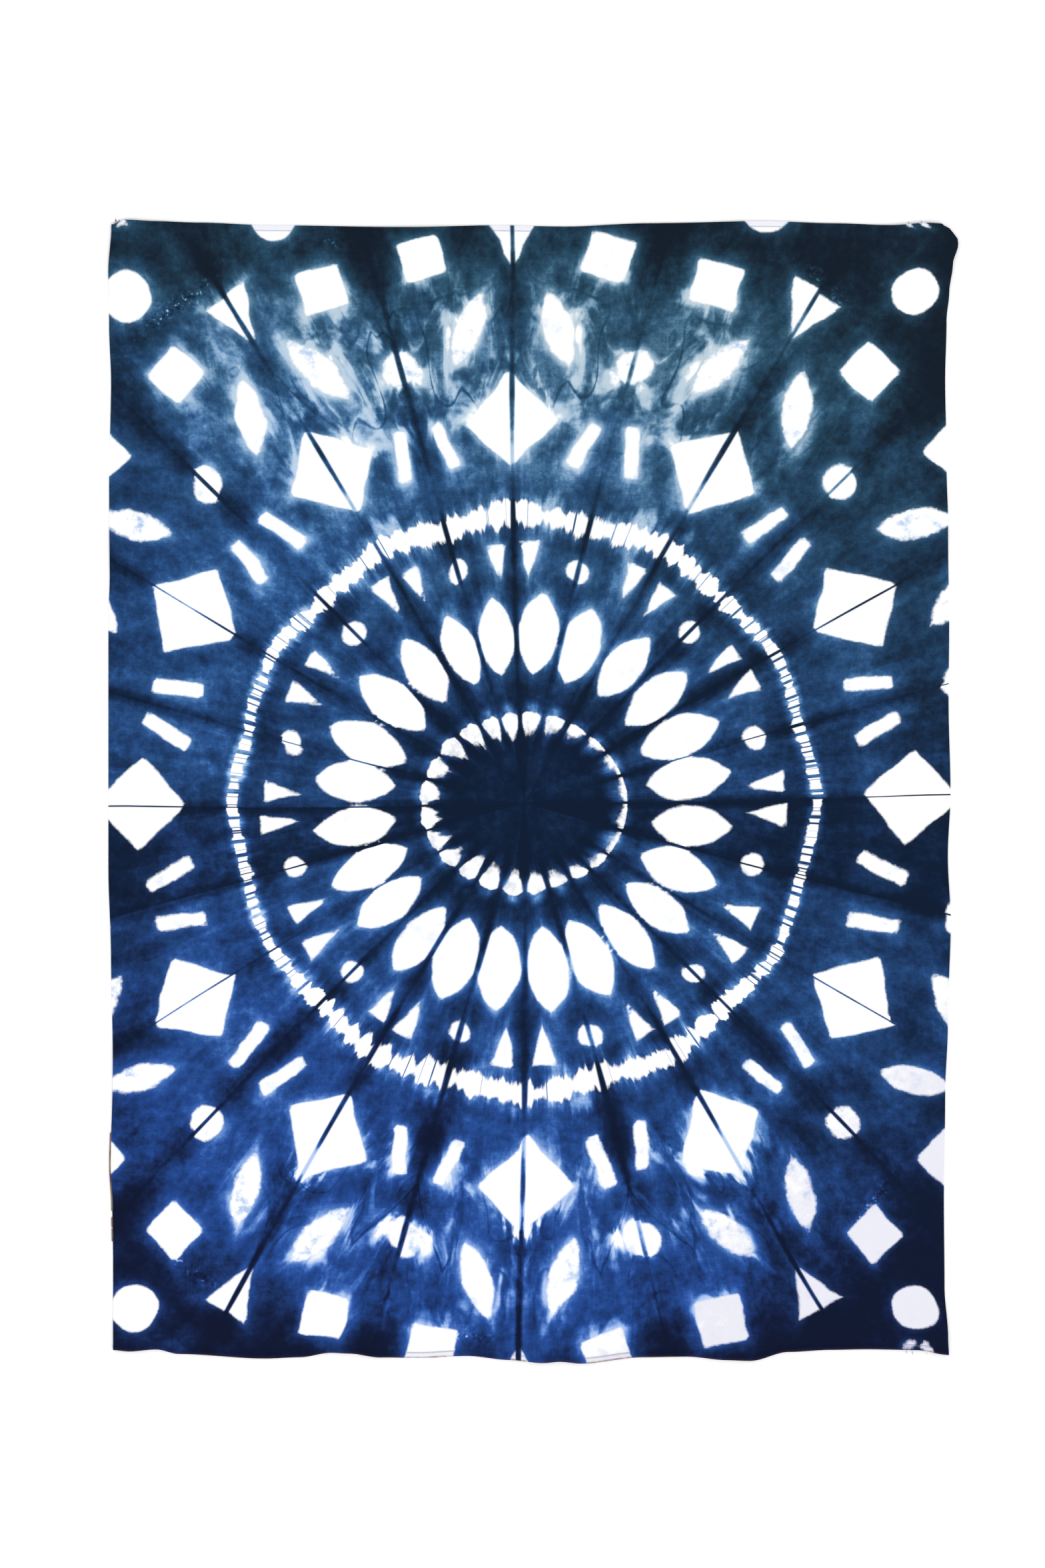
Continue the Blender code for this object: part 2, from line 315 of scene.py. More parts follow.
LOOSE_THREADS = (
    LooseThread(x=-566, y=768, angle=66, length=10, bend=2.5),
    LooseThread(x=-563, y=768, angle=80, length=8, bend=-2.0),
    LooseThread(x=-561, y=769, angle=112, length=7, bend=1.5),
    LooseThread(x=-556, y=769, angle=48, length=6, bend=-1.0),
    LooseThread(x=524, y=769, angle=84, length=5, bend=1.0),
    LooseThread(x=542, y=769, angle=106, length=5, bend=-1.2),
    LooseThread(x=513, y=-769, angle=-96, length=6, bend=1.5),
    LooseThread(x=521, y=-769, angle=-70, length=7, bend=-1.6),
    LooseThread(x=541, y=-769, angle=-108, length=6, bend=1.8),
)

# Settings of a Map Range node that starts and ends softly
EASED = {"interpolation_type": "SMOOTHSTEP"}

# The two wedges just below the first fold, counted anticlockwise from +X, lay outermost in the bath
OUTERMOST_LAYERS = (-1, -LAYER_COUNT // 2)


def smooth(share: Array) -> Array:
    """Ease from 0 to 1 with a level start and end."""
    share = np.clip(share, 0.0, 1.0)
    return share * share * (3.0 - 2.0 * share)


def bell(share: Array) -> Array:
    """A soft hump: 1 in the middle and 0 from a share of 1 outwards."""
    return 0.5 * (1.0 + np.cos(np.pi * np.minimum(np.abs(share), 1.0)))


def linear(colour: str) -> tuple:
    """Turn an sRGB hex colour into linear red, green, blue and an alpha of 1.

    Args:
        colour: Six hex digits after a hash sign.

    Returns:
        Four numbers from 0 to 1.
    """
    parts = [int(colour[start:start + 2], 16) / 255 for start in (1, 3, 5)]
    parts = [part / 12.92 if part <= 0.04045 else ((part + 0.055) / 1.055) ** 2.4 for part in parts]
    return (*parts, 1.0)


def turned(dx: Array, dy: Array, angle: float) -> tuple:
    """Measure offsets along a direction, given in radians, and aside from it."""
    return dx * np.cos(angle) + dy * np.sin(angle), dy * np.cos(angle) - dx * np.sin(angle)


def ripple(x: Array, y: Array, wavelength: float, seed: int) -> Array:
    """A slow uneven wave over the cloth, made of a few straight waves in chance directions.

    Args:
        x: Places across the cloth, in metres.
        y: Places along the cloth, in metres.
        wavelength: Length of the waves, in metres.
        seed: Picks the directions and the starts of the waves.

    Returns:
        Values from about -1 to 1.
    """
    draw = np.random.default_rng(seed)
    total = np.zeros_like(x)
    for _ in range(5):
        turn, start, stretch = draw.uniform(0, math.tau), draw.uniform(0, math.tau), draw.uniform(0.7, 1.4)
        across = x * math.cos(turn) + y * math.sin(turn)
        total += np.sin(math.tau * across / (wavelength * stretch) + start)
    return total / 3.0


class Rise(NamedTuple):
    """A soft step from 0 to 1 in one of the cloth's measures: where it starts, and its run there."""

    measure: str
    start: float
    run: float

    def at(self, values: Array) -> Array:
        """Height of the step at some values of its measure."""
        return smooth((values - self.start) / self.run)


class Hump(NamedTuple):
    """A soft hump from 0 to 1 and back in one of the cloth's measures: its top and its half width."""

    measure: str
    top: float
    half_width: float

    def at(self, values: Array) -> Array:
        """Height of the hump at some values of its measure."""
        return bell((values - self.top) / self.half_width)


class Plain(NamedTuple):
    """One of the cloth's measures as it is."""

    measure: str

    def at(self, values: Array) -> Array:
        """The values of the measure."""
        return values


class ToneChange(NamedTuple):
    """A place where the dye took darker, or paler below 0: by how much, and the shapes that bound it.

    The measures x, y, off_x and off_y are in metres from the panel's middle, the last two without a
    sign, and reach is in metres from where the folds meet. The rest have no unit: core is 1 on the inner
    binding, upward runs from -1 at the bottom to 1 at the top, sideways from 0 there to 1 at the sides,
    from_even from 0 on an even fold to 1 on an odd one, and wash is the share of thin dye.
    """

    change: float
    shapes: tuple


PLAIN_TONE = 0.57
TONE_CHANGES = (
    # The core, the rings beside the bindings, and the cloth far beyond them
    ToneChange(0.44, (Rise("core", 0.98, -0.22),)),
    ToneChange(0.10, (Hump("reach", 0.155, 0.040),)),
    ToneChange(0.12, (Hump("reach", 0.366, 0.030),)),
    ToneChange(0.05, (Hump("reach", 0.300, 0.030),)),
    ToneChange(0.08, (Hump("reach", 0.435, 0.035), Plain("sideways"))),
    ToneChange(0.30, (Rise("reach", 0.66, 0.17),)),
    # The sides and ends, and the drift from one side of the cloth to the other
    ToneChange(0.12, (Rise("off_x", 0.46, 0.10),)),
    ToneChange(0.10, (Rise("off_y", 0.66, 0.10),)),
    ToneChange(0.08, (Rise("x", -0.05, 0.45),)),
    ToneChange(0.03, (Rise("y", 0.40, -0.40),)),
    # The top left, bottom right and top right corners
    ToneChange(-0.20, (Rise("x", -0.15, -0.25), Rise("y", 0.35, 0.30))),
    ToneChange(0.15, (Rise("x", 0.22, 0.18), Rise("y", -0.32, -0.18))),
    ToneChange(-0.08, (Rise("x", 0.25, 0.20), Rise("y", 0.50, 0.20))),
    # The odd folds below the outer binding, the washed band, the middle line, and above the binding
    ToneChange(
        0.30, (Rise("upward", -0.5, -0.35), Hump("reach", 0.472, 0.048), Rise("from_even", 0.25, 0.5))),
    ToneChange(0.05, (Hump("y", 0.42, 0.17),)),
    ToneChange(-0.06, (Plain("wash"),)),
    ToneChange(-0.06, (Hump("x", 0.0, 0.14), Rise("reach", 0.10, 0.10))),
    ToneChange(-0.13, (Hump("reach", 0.455, 0.05), Rise("upward", 0.5, 0.35))),
)


def place_mesh(name: str, points: Array, faces: list) -> Object:
    """Make an object at the origin from points and faces.

    Args:
        name: The object's and the mesh's name.
        points: One row for each point, in metres.
        faces: The point numbers round each face.

    Returns:
        The new object, linked to the scene.
    """
    mesh = bpy.data.meshes.new(name)
    mesh.from_pydata(points, [], faces)
    mesh.update()
    piece = bpy.data.objects.new(name, mesh)
    bpy.context.collection.objects.link(piece)
    return piece


@dataclass
class PanelForm:
    """The cut and turned panel, and the shape in which it lies. Sizes in metres.

    A fold runs out over a share of its length, and its height goes up and down by its unevenness, once
    in 2 pi times the uneven run, which is in mm.
    """

    width: float = 1.140
    length: float = 1.540
    thickness: float = 0.0012
    hem_width: float = 0.006
    hem_thickness: float = 0.0024
    hem_step: float = 0.002
    edge_pull: float = 0.150
    run_out_share: float = 0.3
    unevenness: float = 0.2
    uneven_run: float = 45.0
    centre_x: float = -0.006
    centre_y: float = -0.018

    def edge_out(self, edge: tuple, along: Array) -> Array:
        """Tell how far an edge stands out at places along it.

        Args:
            edge: The rows of the edge's table.
            along: Places along the edge, in metres.

        Returns:
            Distances out from the straight line, in metres.
        """
        stops = np.array([row.along for row in edge]) * MM
        outs = np.array([row.out for row in edge]) * MM
        index = np.clip(np.searchsorted(stops, along, side="right") - 1, 0, len(stops) - 2)
        share = (along - stops[index]) / (stops[index + 1] - stops[index])
        return outs[index] + (outs[index + 1] - outs[index]) * smooth(share)

    def wandered(self, x: Array, y: Array) -> tuple:
        """Move points of the straight rectangle with the uneven edges of the cloth.

        Args:
            x: Places across the flat rectangle.
            y: Places along the flat rectangle.

        Returns:
            The moved places across and along.
        """
        from_left, from_right = x + self.width / 2, self.width / 2 - x
        from_top, from_bottom = self.length / 2 - y, y + self.length / 2
        right = self.edge_out(RIGHT_EDGE, from_top) * smooth(1 - from_right / self.edge_pull)
        left = self.edge_out(LEFT_EDGE, from_top) * smooth(1 - from_left / self.edge_pull)
        top = self.edge_out(TOP_EDGE, from_left) * smooth(1 - from_top / self.edge_pull)
        bottom = self.edge_out(BOTTOM_EDGE, from_left) * smooth(1 - from_bottom / self.edge_pull)
        return x + right - left, y + top - bottom

    def middle(self) -> tuple:
        """Middle of the wandered outline's box, which lies over the frame's origin.

        Returns:
            Its place across and along the wandered panel, in metres.
        """
        share = np.linspace(-0.5, 0.5, 1501)
        x = np.concatenate([share * self.width, share * self.width, share * 0 - self.width / 2,
                            share * 0 + self.width / 2])
        y = np.concatenate([share * 0 - self.length / 2, share * 0 + self.length / 2,
                            share * self.length, share * self.length])
        across, along = self.wandered(x, y)
        return (across.min() + across.max()) / 2, (along.min() + along.max()) / 2

    def beside_fold(self, fold: Fold, x: Array, y: Array) -> tuple:
        """Measure points along a fold and aside from its crest, in mm.

        Args:
            fold: The fold.
            x: Places across the flat panel, in metres.
            y: Places along the flat panel, in metres.

        Returns:
            Distances along the fold and aside from its crest.
        """
        along, aside = turned(x - self.centre_x, y - self.centre_y, math.radians(fold.angle))
        along, aside = along / MM, aside / MM
        inside = np.clip(along, 0.0, fold.end)
        return along, aside - fold.sway * np.sin(np.pi * inside / fold.end)

    def fold_lift(self, fold: Fold, x: Array, y: Array) -> Array:
        """Height to which one fold raises the cloth.

        Args:
            fold: The fold.
            x: Places across the flat panel, in metres.
            y: Places along the flat panel, in metres.

        Returns:
            Heights, in metres.
        """
        along, aside = self.beside_fold(fold, x, y)
        ends = smooth(along / fold.start) * smooth((fold.end - along) / (self.run_out_share * fold.end))
        uneven = 1 - self.unevenness + self.unevenness * np.cos(along / self.uneven_run + fold.angle)
        return fold.height * MM * bell(aside / fold.half_width) * ends * uneven

    def lift(self, x: Array, y: Array) -> Array:
        """Height of the solid's underside above the surface that it lies on.

        Args:
            x: Places across the flat panel, in metres.
            y: Places along the flat panel, in metres.

        Returns:
            Heights, in metres.
        """
        raised = [self.fold_lift(fold, x, y) for fold in FOLDS]
        for swell in SWELLS:
            distance = np.hypot(x - swell.x * MM, y - swell.y * MM)
            raised.append(swell.height * MM * bell(distance / (swell.radius * MM)))
        return np.max(raised, axis=0)

    def thick(self, y: Array) -> Array:
        """Thickness of the cloth: one layer, or the turned hem along the top and bottom edges.

        Args:
            y: Places along the flat panel, in metres.

        Returns:
            Thicknesses, in metres.
        """
        from_edge = self.length / 2 - np.abs(y)
        share = (from_edge - self.hem_width) / self.hem_step
        return self.hem_thickness + (self.thickness - self.hem_thickness) * smooth(share)


@dataclass
class Crumple:
    """The smaller creases that the folding, binding and pressing left in the cloth. Sizes in mm."""

    form: PanelForm
    trough_side: float = 10.0
    trough_height: float = 0.55
    trough_start: float = 140.0
    trough_rise: float = 80.0
    trough_past: float = 60.0
    trough_fall: float = 160.0
    pucker_height: float = 0.55
    pucker_reach: float = 38.0
    pucker_pitch: float = 25.0
    slack_height: float = 0.40
    slack_wavelength: float = 0.115

    def troughs(self, x: Array, y: Array) -> Array:
        """The two low swells that stand beside each odd fold.

        Args:
            x: Places across the flat panel, in metres.
            y: Places along the flat panel, in metres.

        Returns:
            Heights, in metres.
        """
        total = np.zeros_like(x)
        for number, fold in enumerate(FOLDS):
            after = FOLDS[(number + 1) % FOLD_COUNT].angle + 360.0 * (number + 1 == FOLD_COUNT)
            middle = fold._replace(angle=(fold.angle + after) / 2, sway=0)
            along, aside = self.form.beside_fold(middle, x, y)
            side = bell((np.abs(aside) - self.trough_side) / self.trough_side)
            rise = smooth((along - self.trough_start) / self.trough_rise)
            total += side * rise * smooth((fold.end + self.trough_past - along) / self.trough_fall)
        return total * self.trough_height * MM

    def puckers(self, x: Array, y: Array) -> Array:
        """The small radial gathers that the outer binding pulled up.

        Args:
            x: Places across the flat panel, in metres.
            y: Places along the flat panel, in metres.

        Returns:
            Heights, in metres.
        """
        dx, dy = x - self.form.centre_x, y - self.form.centre_y
        reach, turn = np.hypot(dx, dy) / MM, np.arctan2(dy, dx)
        bound = BINDINGS[-1].reach_x
        count = round(math.tau * bound / self.pucker_pitch)
        gathers = 0.5 + 0.5 * np.sin(turn * count + 1.4 * np.sin(5 * turn) + 0.9 * np.sin(13 * turn))
        return gathers * bell((reach - bound) / self.pucker_reach) * self.pucker_height * MM

    def wrinkles(self, x: Array, y: Array) -> Array:
        """The short ridges near the corners and hems.

        Args:
            x: Places across the flat panel, in metres.
            y: Places along the flat panel, in metres.

        Returns:
            Heights, in metres.
        """
        total = np.zeros_like(x)
        for row in WRINKLES:
            along, aside = turned(x / MM - row.x, y / MM - row.y, math.radians(row.angle))
            ridge = row.height * bell(2 * along / row.length) * bell(aside / row.half_width)
            total = np.maximum(total, ridge)
        return total * MM

    def height(self, x: Array, y: Array) -> Array:
        """All the smaller creases together, never below the surface that the cloth lies on."""
        slack = np.maximum(ripple(x, y, self.slack_wavelength, SEED), 0) * self.slack_height * MM
        return self.troughs(x, y) + self.puckers(x, y) + self.wrinkles(x, y) + slack


@dataclass
class FoldedDye:
    """The dye bath: where each point of the cloth lay in the folded bundle, and what reached it.

    Places on the cloth are in metres. The boards' slip from layer to layer and the waver of their
    outlines are in mm, and the spread of their tilt is in degrees.
    """

    form: PanelForm
    x: Array
    y: Array
    far: float = 0.090
    slip: float = 2.6
    waver: float = 1.5
    size_spread: float = 0.045
    tilt_spread: float = 2.5
    creep_spread: tuple = (0.4, 1.6)
    wash_reach: float = 0.605
    wash_half_width: float = 0.17
    corner_x: float = -0.43
    corner_y: float = 0.62
    corner_radius: float = 0.22
    corner_share: float = 0.55
    turn: Array = field(init=False)
    reach: Array = field(init=False)
    layer: Array = field(init=False)
    even_share: Array = field(init=False)
    endwise: Array = field(init=False)

    def __post_init__(self) -> None:
        """Unfold the cloth: find each point's reach and its angle as if all folds were even."""
        dx, dy = self.x - self.form.centre_x, self.y - self.form.centre_y
        self.reach = np.hypot(dx, dy)
        turn = np.degrees(np.arctan2(dy, dx)) % 360.0
        gap = 360.0 / FOLD_COUNT
        strays = []
        for number, fold in enumerate(FOLDS):
            along = np.minimum(self.reach / MM, fold.end)
            aside = fold.sway * np.sin(np.pi * along / fold.end) * MM
            swayed = np.degrees(np.arctan2(aside, np.maximum(self.reach, 0.02)))
            strays.append(fold.angle - number * gap + swayed)
        strays = np.array(strays)
        before = (turn // gap).astype(int) % FOLD_COUNT
        share = turn / gap - turn // gap
        picks = np.arange(len(turn))
        stray = strays[before, picks] * (1 - share) + strays[(before + 1) % FOLD_COUNT, picks] * share
        self.turn = (turn - stray) % 360.0
        self.layer = (self.turn // WEDGE_DEG).astype(int) % LAYER_COUNT
        inside = self.turn / WEDGE_DEG - self.turn // WEDGE_DEG
        self.even_share = np.where(self.layer % 2 == 0, inside, 1.0 - inside)
        self.endwise = np.abs(np.sin(np.radians(self.turn)))

    def place(self) -> Array:
        """Points of the cloth as if all folds were straight and even, for the finish to read."""
        turn = np.radians(self.turn)
        return np.stack([self.reach * np.cos(turn), self.reach * np.sin(turn), np.zeros_like(turn)], axis=1)

    def depth_in(self, clamp: Clamp, out: Array, across: Array, scale: Array) -> Array:
        """Depth of points under one clamped board, in mm, and below 0 outside it.

        Args:
            clamp: The board.
            out: Places from the board's middle along its length, in mm.
            across: Places from its middle across its width, in mm.
            scale: How large the board printed on each point's layer.

        Returns:
            The depth in from the board's outline.
        """
        half_length, half_width = clamp.length / 2 * scale, clamp.width / 2 * scale
        if clamp.outline is Outline.DISC:
            return half_length - np.hypot(out, across)
        if clamp.outline is Outline.LEAF:
            curve = (half_length**2 + half_width**2) / (2 * half_width)
            return curve - np.hypot(out, np.abs(across) + curve - half_width)
        if clamp.outline is Outline.WEDGE:
            slope = np.hypot(half_width, 2 * half_length)
            side = ((out + half_length) * half_width - np.abs(across) * 2 * half_length) / slope
            return np.minimum(side, half_length - out)
        eased = 3.0
        past_out, past_across = np.abs(out) - half_length + eased, np.abs(across) - half_width + eased
        outside = np.hypot(np.maximum(past_out, 0), np.maximum(past_across, 0))
        return eased - outside - np.minimum(np.maximum(past_out, past_across), 0)

    def clamped(self) -> tuple:
        """Find how deep each point lay under the clamped boards.

        Returns:
            The depth in metres, below 0 outside the boards, and how much dye crept under there.
        """
        draw = np.random.default_rng(SEED)
        turn = np.radians(self.even_share * WEDGE_DEG)
        out, across = self.reach / MM * np.cos(turn), self.reach / MM * np.sin(turn)
        out = out + self.waver * ripple(self.x, self.y, 0.045, SEED + 1)
        across = across + self.waver * ripple(self.x, self.y, 0.050, SEED + 2)
        best, creep = np.full_like(out, -self.far / MM), np.zeros_like(out)
        for clamp in CLAMPS:
            slips = draw.normal(0, self.slip, (2, LAYER_COUNT))
            slips = np.clip(slips, -2 * self.slip, 2 * self.slip)[:, self.layer]
            scale = (1 + draw.normal(0, self.size_spread, LAYER_COUNT))[self.layer]
            tilt = np.radians(clamp.tilt + draw.normal(0, self.tilt_spread, LAYER_COUNT))[self.layer]
            seep = np.clip(clamp.creep * draw.uniform(*self.creep_spread, LAYER_COUNT), 0, 1)[self.layer]
            middle = math.radians(clamp.turn)
            dx = out - clamp.reach * math.cos(middle) - slips[0]
            dy = across - clamp.reach * math.sin(middle) - slips[1] * (0 < clamp.turn < WEDGE_DEG)
            depth = self.depth_in(clamp, *turned(*turned(dx, dy, middle), tilt), scale)
            creep = np.where(depth > best, seep, creep)
            best = np.maximum(best, depth)
        for nick in NICKS:
            depth = nick.radius - np.hypot(self.x / MM - nick.x, self.y / MM - nick.y)
            creep = np.where(depth > best, nick.creep, creep)
            best = np.maximum(best, depth)
        return best * MM, creep

    def bound(self, binding: Binding) -> Array:
        """Distance of each point out from the middle line of a thread binding, in metres.

        Args:
            binding: The binding.

        Returns:
            Distances, below 0 inside the line.
        """
        turn = np.radians(self.turn)
        line = 1 / np.hypot(np.cos(turn) / binding.reach_x, np.sin(turn) / binding.reach_y)
        line += binding.slant * (0.5 - self.even_share) + 2.0 * ripple(self.x, self.y, 0.09, SEED + 3)
        return self.reach - line * MM

    def bound_size(self, side: str, end: str) -> Array:
        """A size of the nearer binding at each point, between its side and end values, in metres.

        Args:
            side: Column of the size at the cloth's sides.
            end: Column of the size at its ends.

        Returns:
            One size for each point.
        """
        inner, outer = BINDINGS
        nearer_inner = self.reach / MM < (inner.reach_x + outer.reach_x) / 2
        share = smooth((self.endwise - 0.35) / 0.6)
        sizes = [getattr(row, side) * (1 - share) + getattr(row, end) * share for row in (inner, outer)]
        sizes[0] = sizes[0] * (0.86 - 0.44 * np.cos(np.radians(self.turn)))
        return np.where(nearer_inner, *sizes) * MM

    def wash(self) -> Array:
        """Where thin dye washed through: beyond the outer binding, towards the top and bottom.

        Returns:
            Shares from 0 to 1.
        """
        band = smooth(1.15 - np.abs(self.reach - self.wash_reach) / self.wash_half_width)
        from_corner = np.hypot(self.x - self.corner_x, self.y - self.corner_y)
        corner = self.corner_share * bell(from_corner / self.corner_radius)
        return np.maximum(band * smooth((self.endwise - 0.68) / 0.26), corner)

    def crackle(self) -> Array:
        """How crumpled the cloth went into the bath along its crackled creases.

        Returns:
            Shares from 0 to 1.
        """
        total = np.zeros_like(self.x)
        for row in CRACKLES:
            along, aside = turned(self.x / MM - row.x, self.y / MM - row.y, math.radians(row.angle))
            aside = aside + 5 * np.sin(along / 21)
            total = np.maximum(total, bell(2 * along / row.length) * bell(aside / row.half_width))
        return total

    def tone(self) -> Array:
        """How dark the dye took over the cloth as a whole: 0 for the palest blue and 1 for the darkest.

        Returns:
            One tone for each point.
        """
        inner = BINDINGS[0]
        turn = np.radians(self.turn)
        measures = {
            "x": self.x,
            "y": self.y,
            "off_x": np.abs(self.x),
            "off_y": np.abs(self.y),
            "reach": self.reach,
            "core": self.reach / MM * np.hypot(np.cos(turn) / inner.reach_x, np.sin(turn) / inner.reach_y),
            "upward": np.sin(turn),
            "sideways": 1 - self.endwise,
            "from_even": self.even_share,
            "wash": self.wash(),
        }
        tone = np.full_like(self.x, PLAIN_TONE)
        for row in TONE_CHANGES:
            change = row.change
            for shape in row.shapes:
                change = change * shape.at(measures[shape.measure])
            tone += change
        return tone


class Graph:
    """A material's node tree, filled node by node.

    The inputs of a Map Range node are a value, the two ends of its range, and what these are mapped to.
    """

    def __init__(self, name: str) -> None:
        """Start a material with an empty node tree.

        Args:
            name: The material's name.
        """
        self.material = bpy.data.materials.new(name)
        self.material.use_nodes = True
        self.tree = self.material.node_tree
        self.tree.nodes.clear()

    def add(self, kind: str, *values: object, stops: tuple = (), **settings: object) -> Node:
        """Add one node with its settings and links.

        Args:
            kind: The node's Blender type without its ShaderNode prefix, with its operation after a dot.
                A Math node is named by its operation alone.
            values: What goes into its live inputs, in order: nodes, sockets or plain values.
            stops: Positions, each with a hex colour or a plain number, for a colour ramp only.
            settings: More inputs by name, in capitals and with _ for a space, and the node's properties.

        Returns:
            The new node.
        """
        kind, _, operation = kind.partition(".")
        if kind.isupper():
            kind, operation = "Math", kind
        node = self.tree.nodes.new("ShaderNode" + kind)
        if operation:
            node.operation = operation
        for name in [name for name in settings if name.islower()]:
            setattr(node, name, settings.pop(name))
        live = [socket for socket in node.inputs if socket.enabled]
        given = list(zip(live, values))
        for name, value in settings.items():
            given.append((next(one for one in live if one.name == name.replace("_", " ")), value))
        for socket, value in given:
            if isinstance(value, Node):
                value = next(one for one in value.outputs if one.enabled)
            if isinstance(value, Socket):
                self.tree.links.new(value, socket)
            else:
                socket.default_value = value
        if stops:
            ramp = node.color_ramp
            while len(ramp.elements) < len(stops):
                ramp.elements.new(0.5)
            for element, (position, colour) in zip(ramp.elements, stops):
                element.position = position
                element.color = linear(colour) if isinstance(colour, str) else (colour, colour, colour, 1.0)
        return node


class FoldFrame(NamedTuple):
    """Nodes that tell where a point lies among the folds."""

    turn: Node
    reach: Node
    endwise: Node
    off_fold: Node
    gap: Node
    number: Node
    layer: Node
    mirrored: Node


class FoldLine(NamedTuple):
    """Nodes for the dye along the folds: its dark line, the shade beside it, and its cuts in the marks."""

    dark: Node
    shade: Node
    cut: Node


class Marks(NamedTuple):
    """Nodes for the clamped marks: white inside, pale close by and further off, dye that crept in."""

    white: Node
    near: Node
    wide: Node
    stain: Node


class BindingEdge(NamedTuple):
    """Nodes that tell how a point lies to the nearer binding, and how deep it is in that one's white."""

    beyond: Node
    within: Node
    signed: Node
    distance: Node
    arc: Node
    combed: Node
    softest: Node
    reached: Node
    depth: Node


class Bound(NamedTuple):
    """Nodes for the thread bindings: white under the thread, pale and streaked beside it."""

    white: Node
    pale: Node
    streaks: Node


class Wash(NamedTuple):
    """Nodes for thin dye: pale veils, the dark lines of its crumples, and white smears by the marks."""

    veil: Node
    crumple: Node
    smear: Node


class Clouds(NamedTuple):
    """Noise nodes, from the broadest blots to the finest grain."""

    broad: Node
    middling: Node
    fine: Node
    grain: Node
    pleats: Node


class Share(NamedTuple):
    """A node that goes into a sum: its weight, and its mean where that is taken off the sum again."""

    node: Node
    weight: float
    mean: float = 0.0


class Mottle(NamedTuple):
    """Even noise over the cloth: its blots to the metre, how many finer ones it holds, and their weight."""

    scale: float
    detail: float
    roughness: float


@dataclass(frozen=True)
class Paling:
    """How far each pale thing lightens the dye, on the tone's scale from 0 to 1."""

    glow_near: float = 0.20
    glow_wide: float = 0.23
    near: float = 0.10
    bound: float = 0.34
    veil: float = 0.56
    smear: float = 0.45


@dataclass(frozen=True)
class Darkening:
    """How far each thing darkens the dye, on the tone's scale from 0 to 1; below 0 it lightens it."""

    broad: float = 0.74
    middling: float = 0.56
    fine: float = 0.50
    grain: float = 0.14
    pleats: float = 0.52
    slubs: float = 0.08
    fold_line: float = 0.13
    fold_shade: float = 0.31
    streaks: float = 0.80
    crumple: float = 0.34
    specks: float = -0.55
    white: float = -0.24


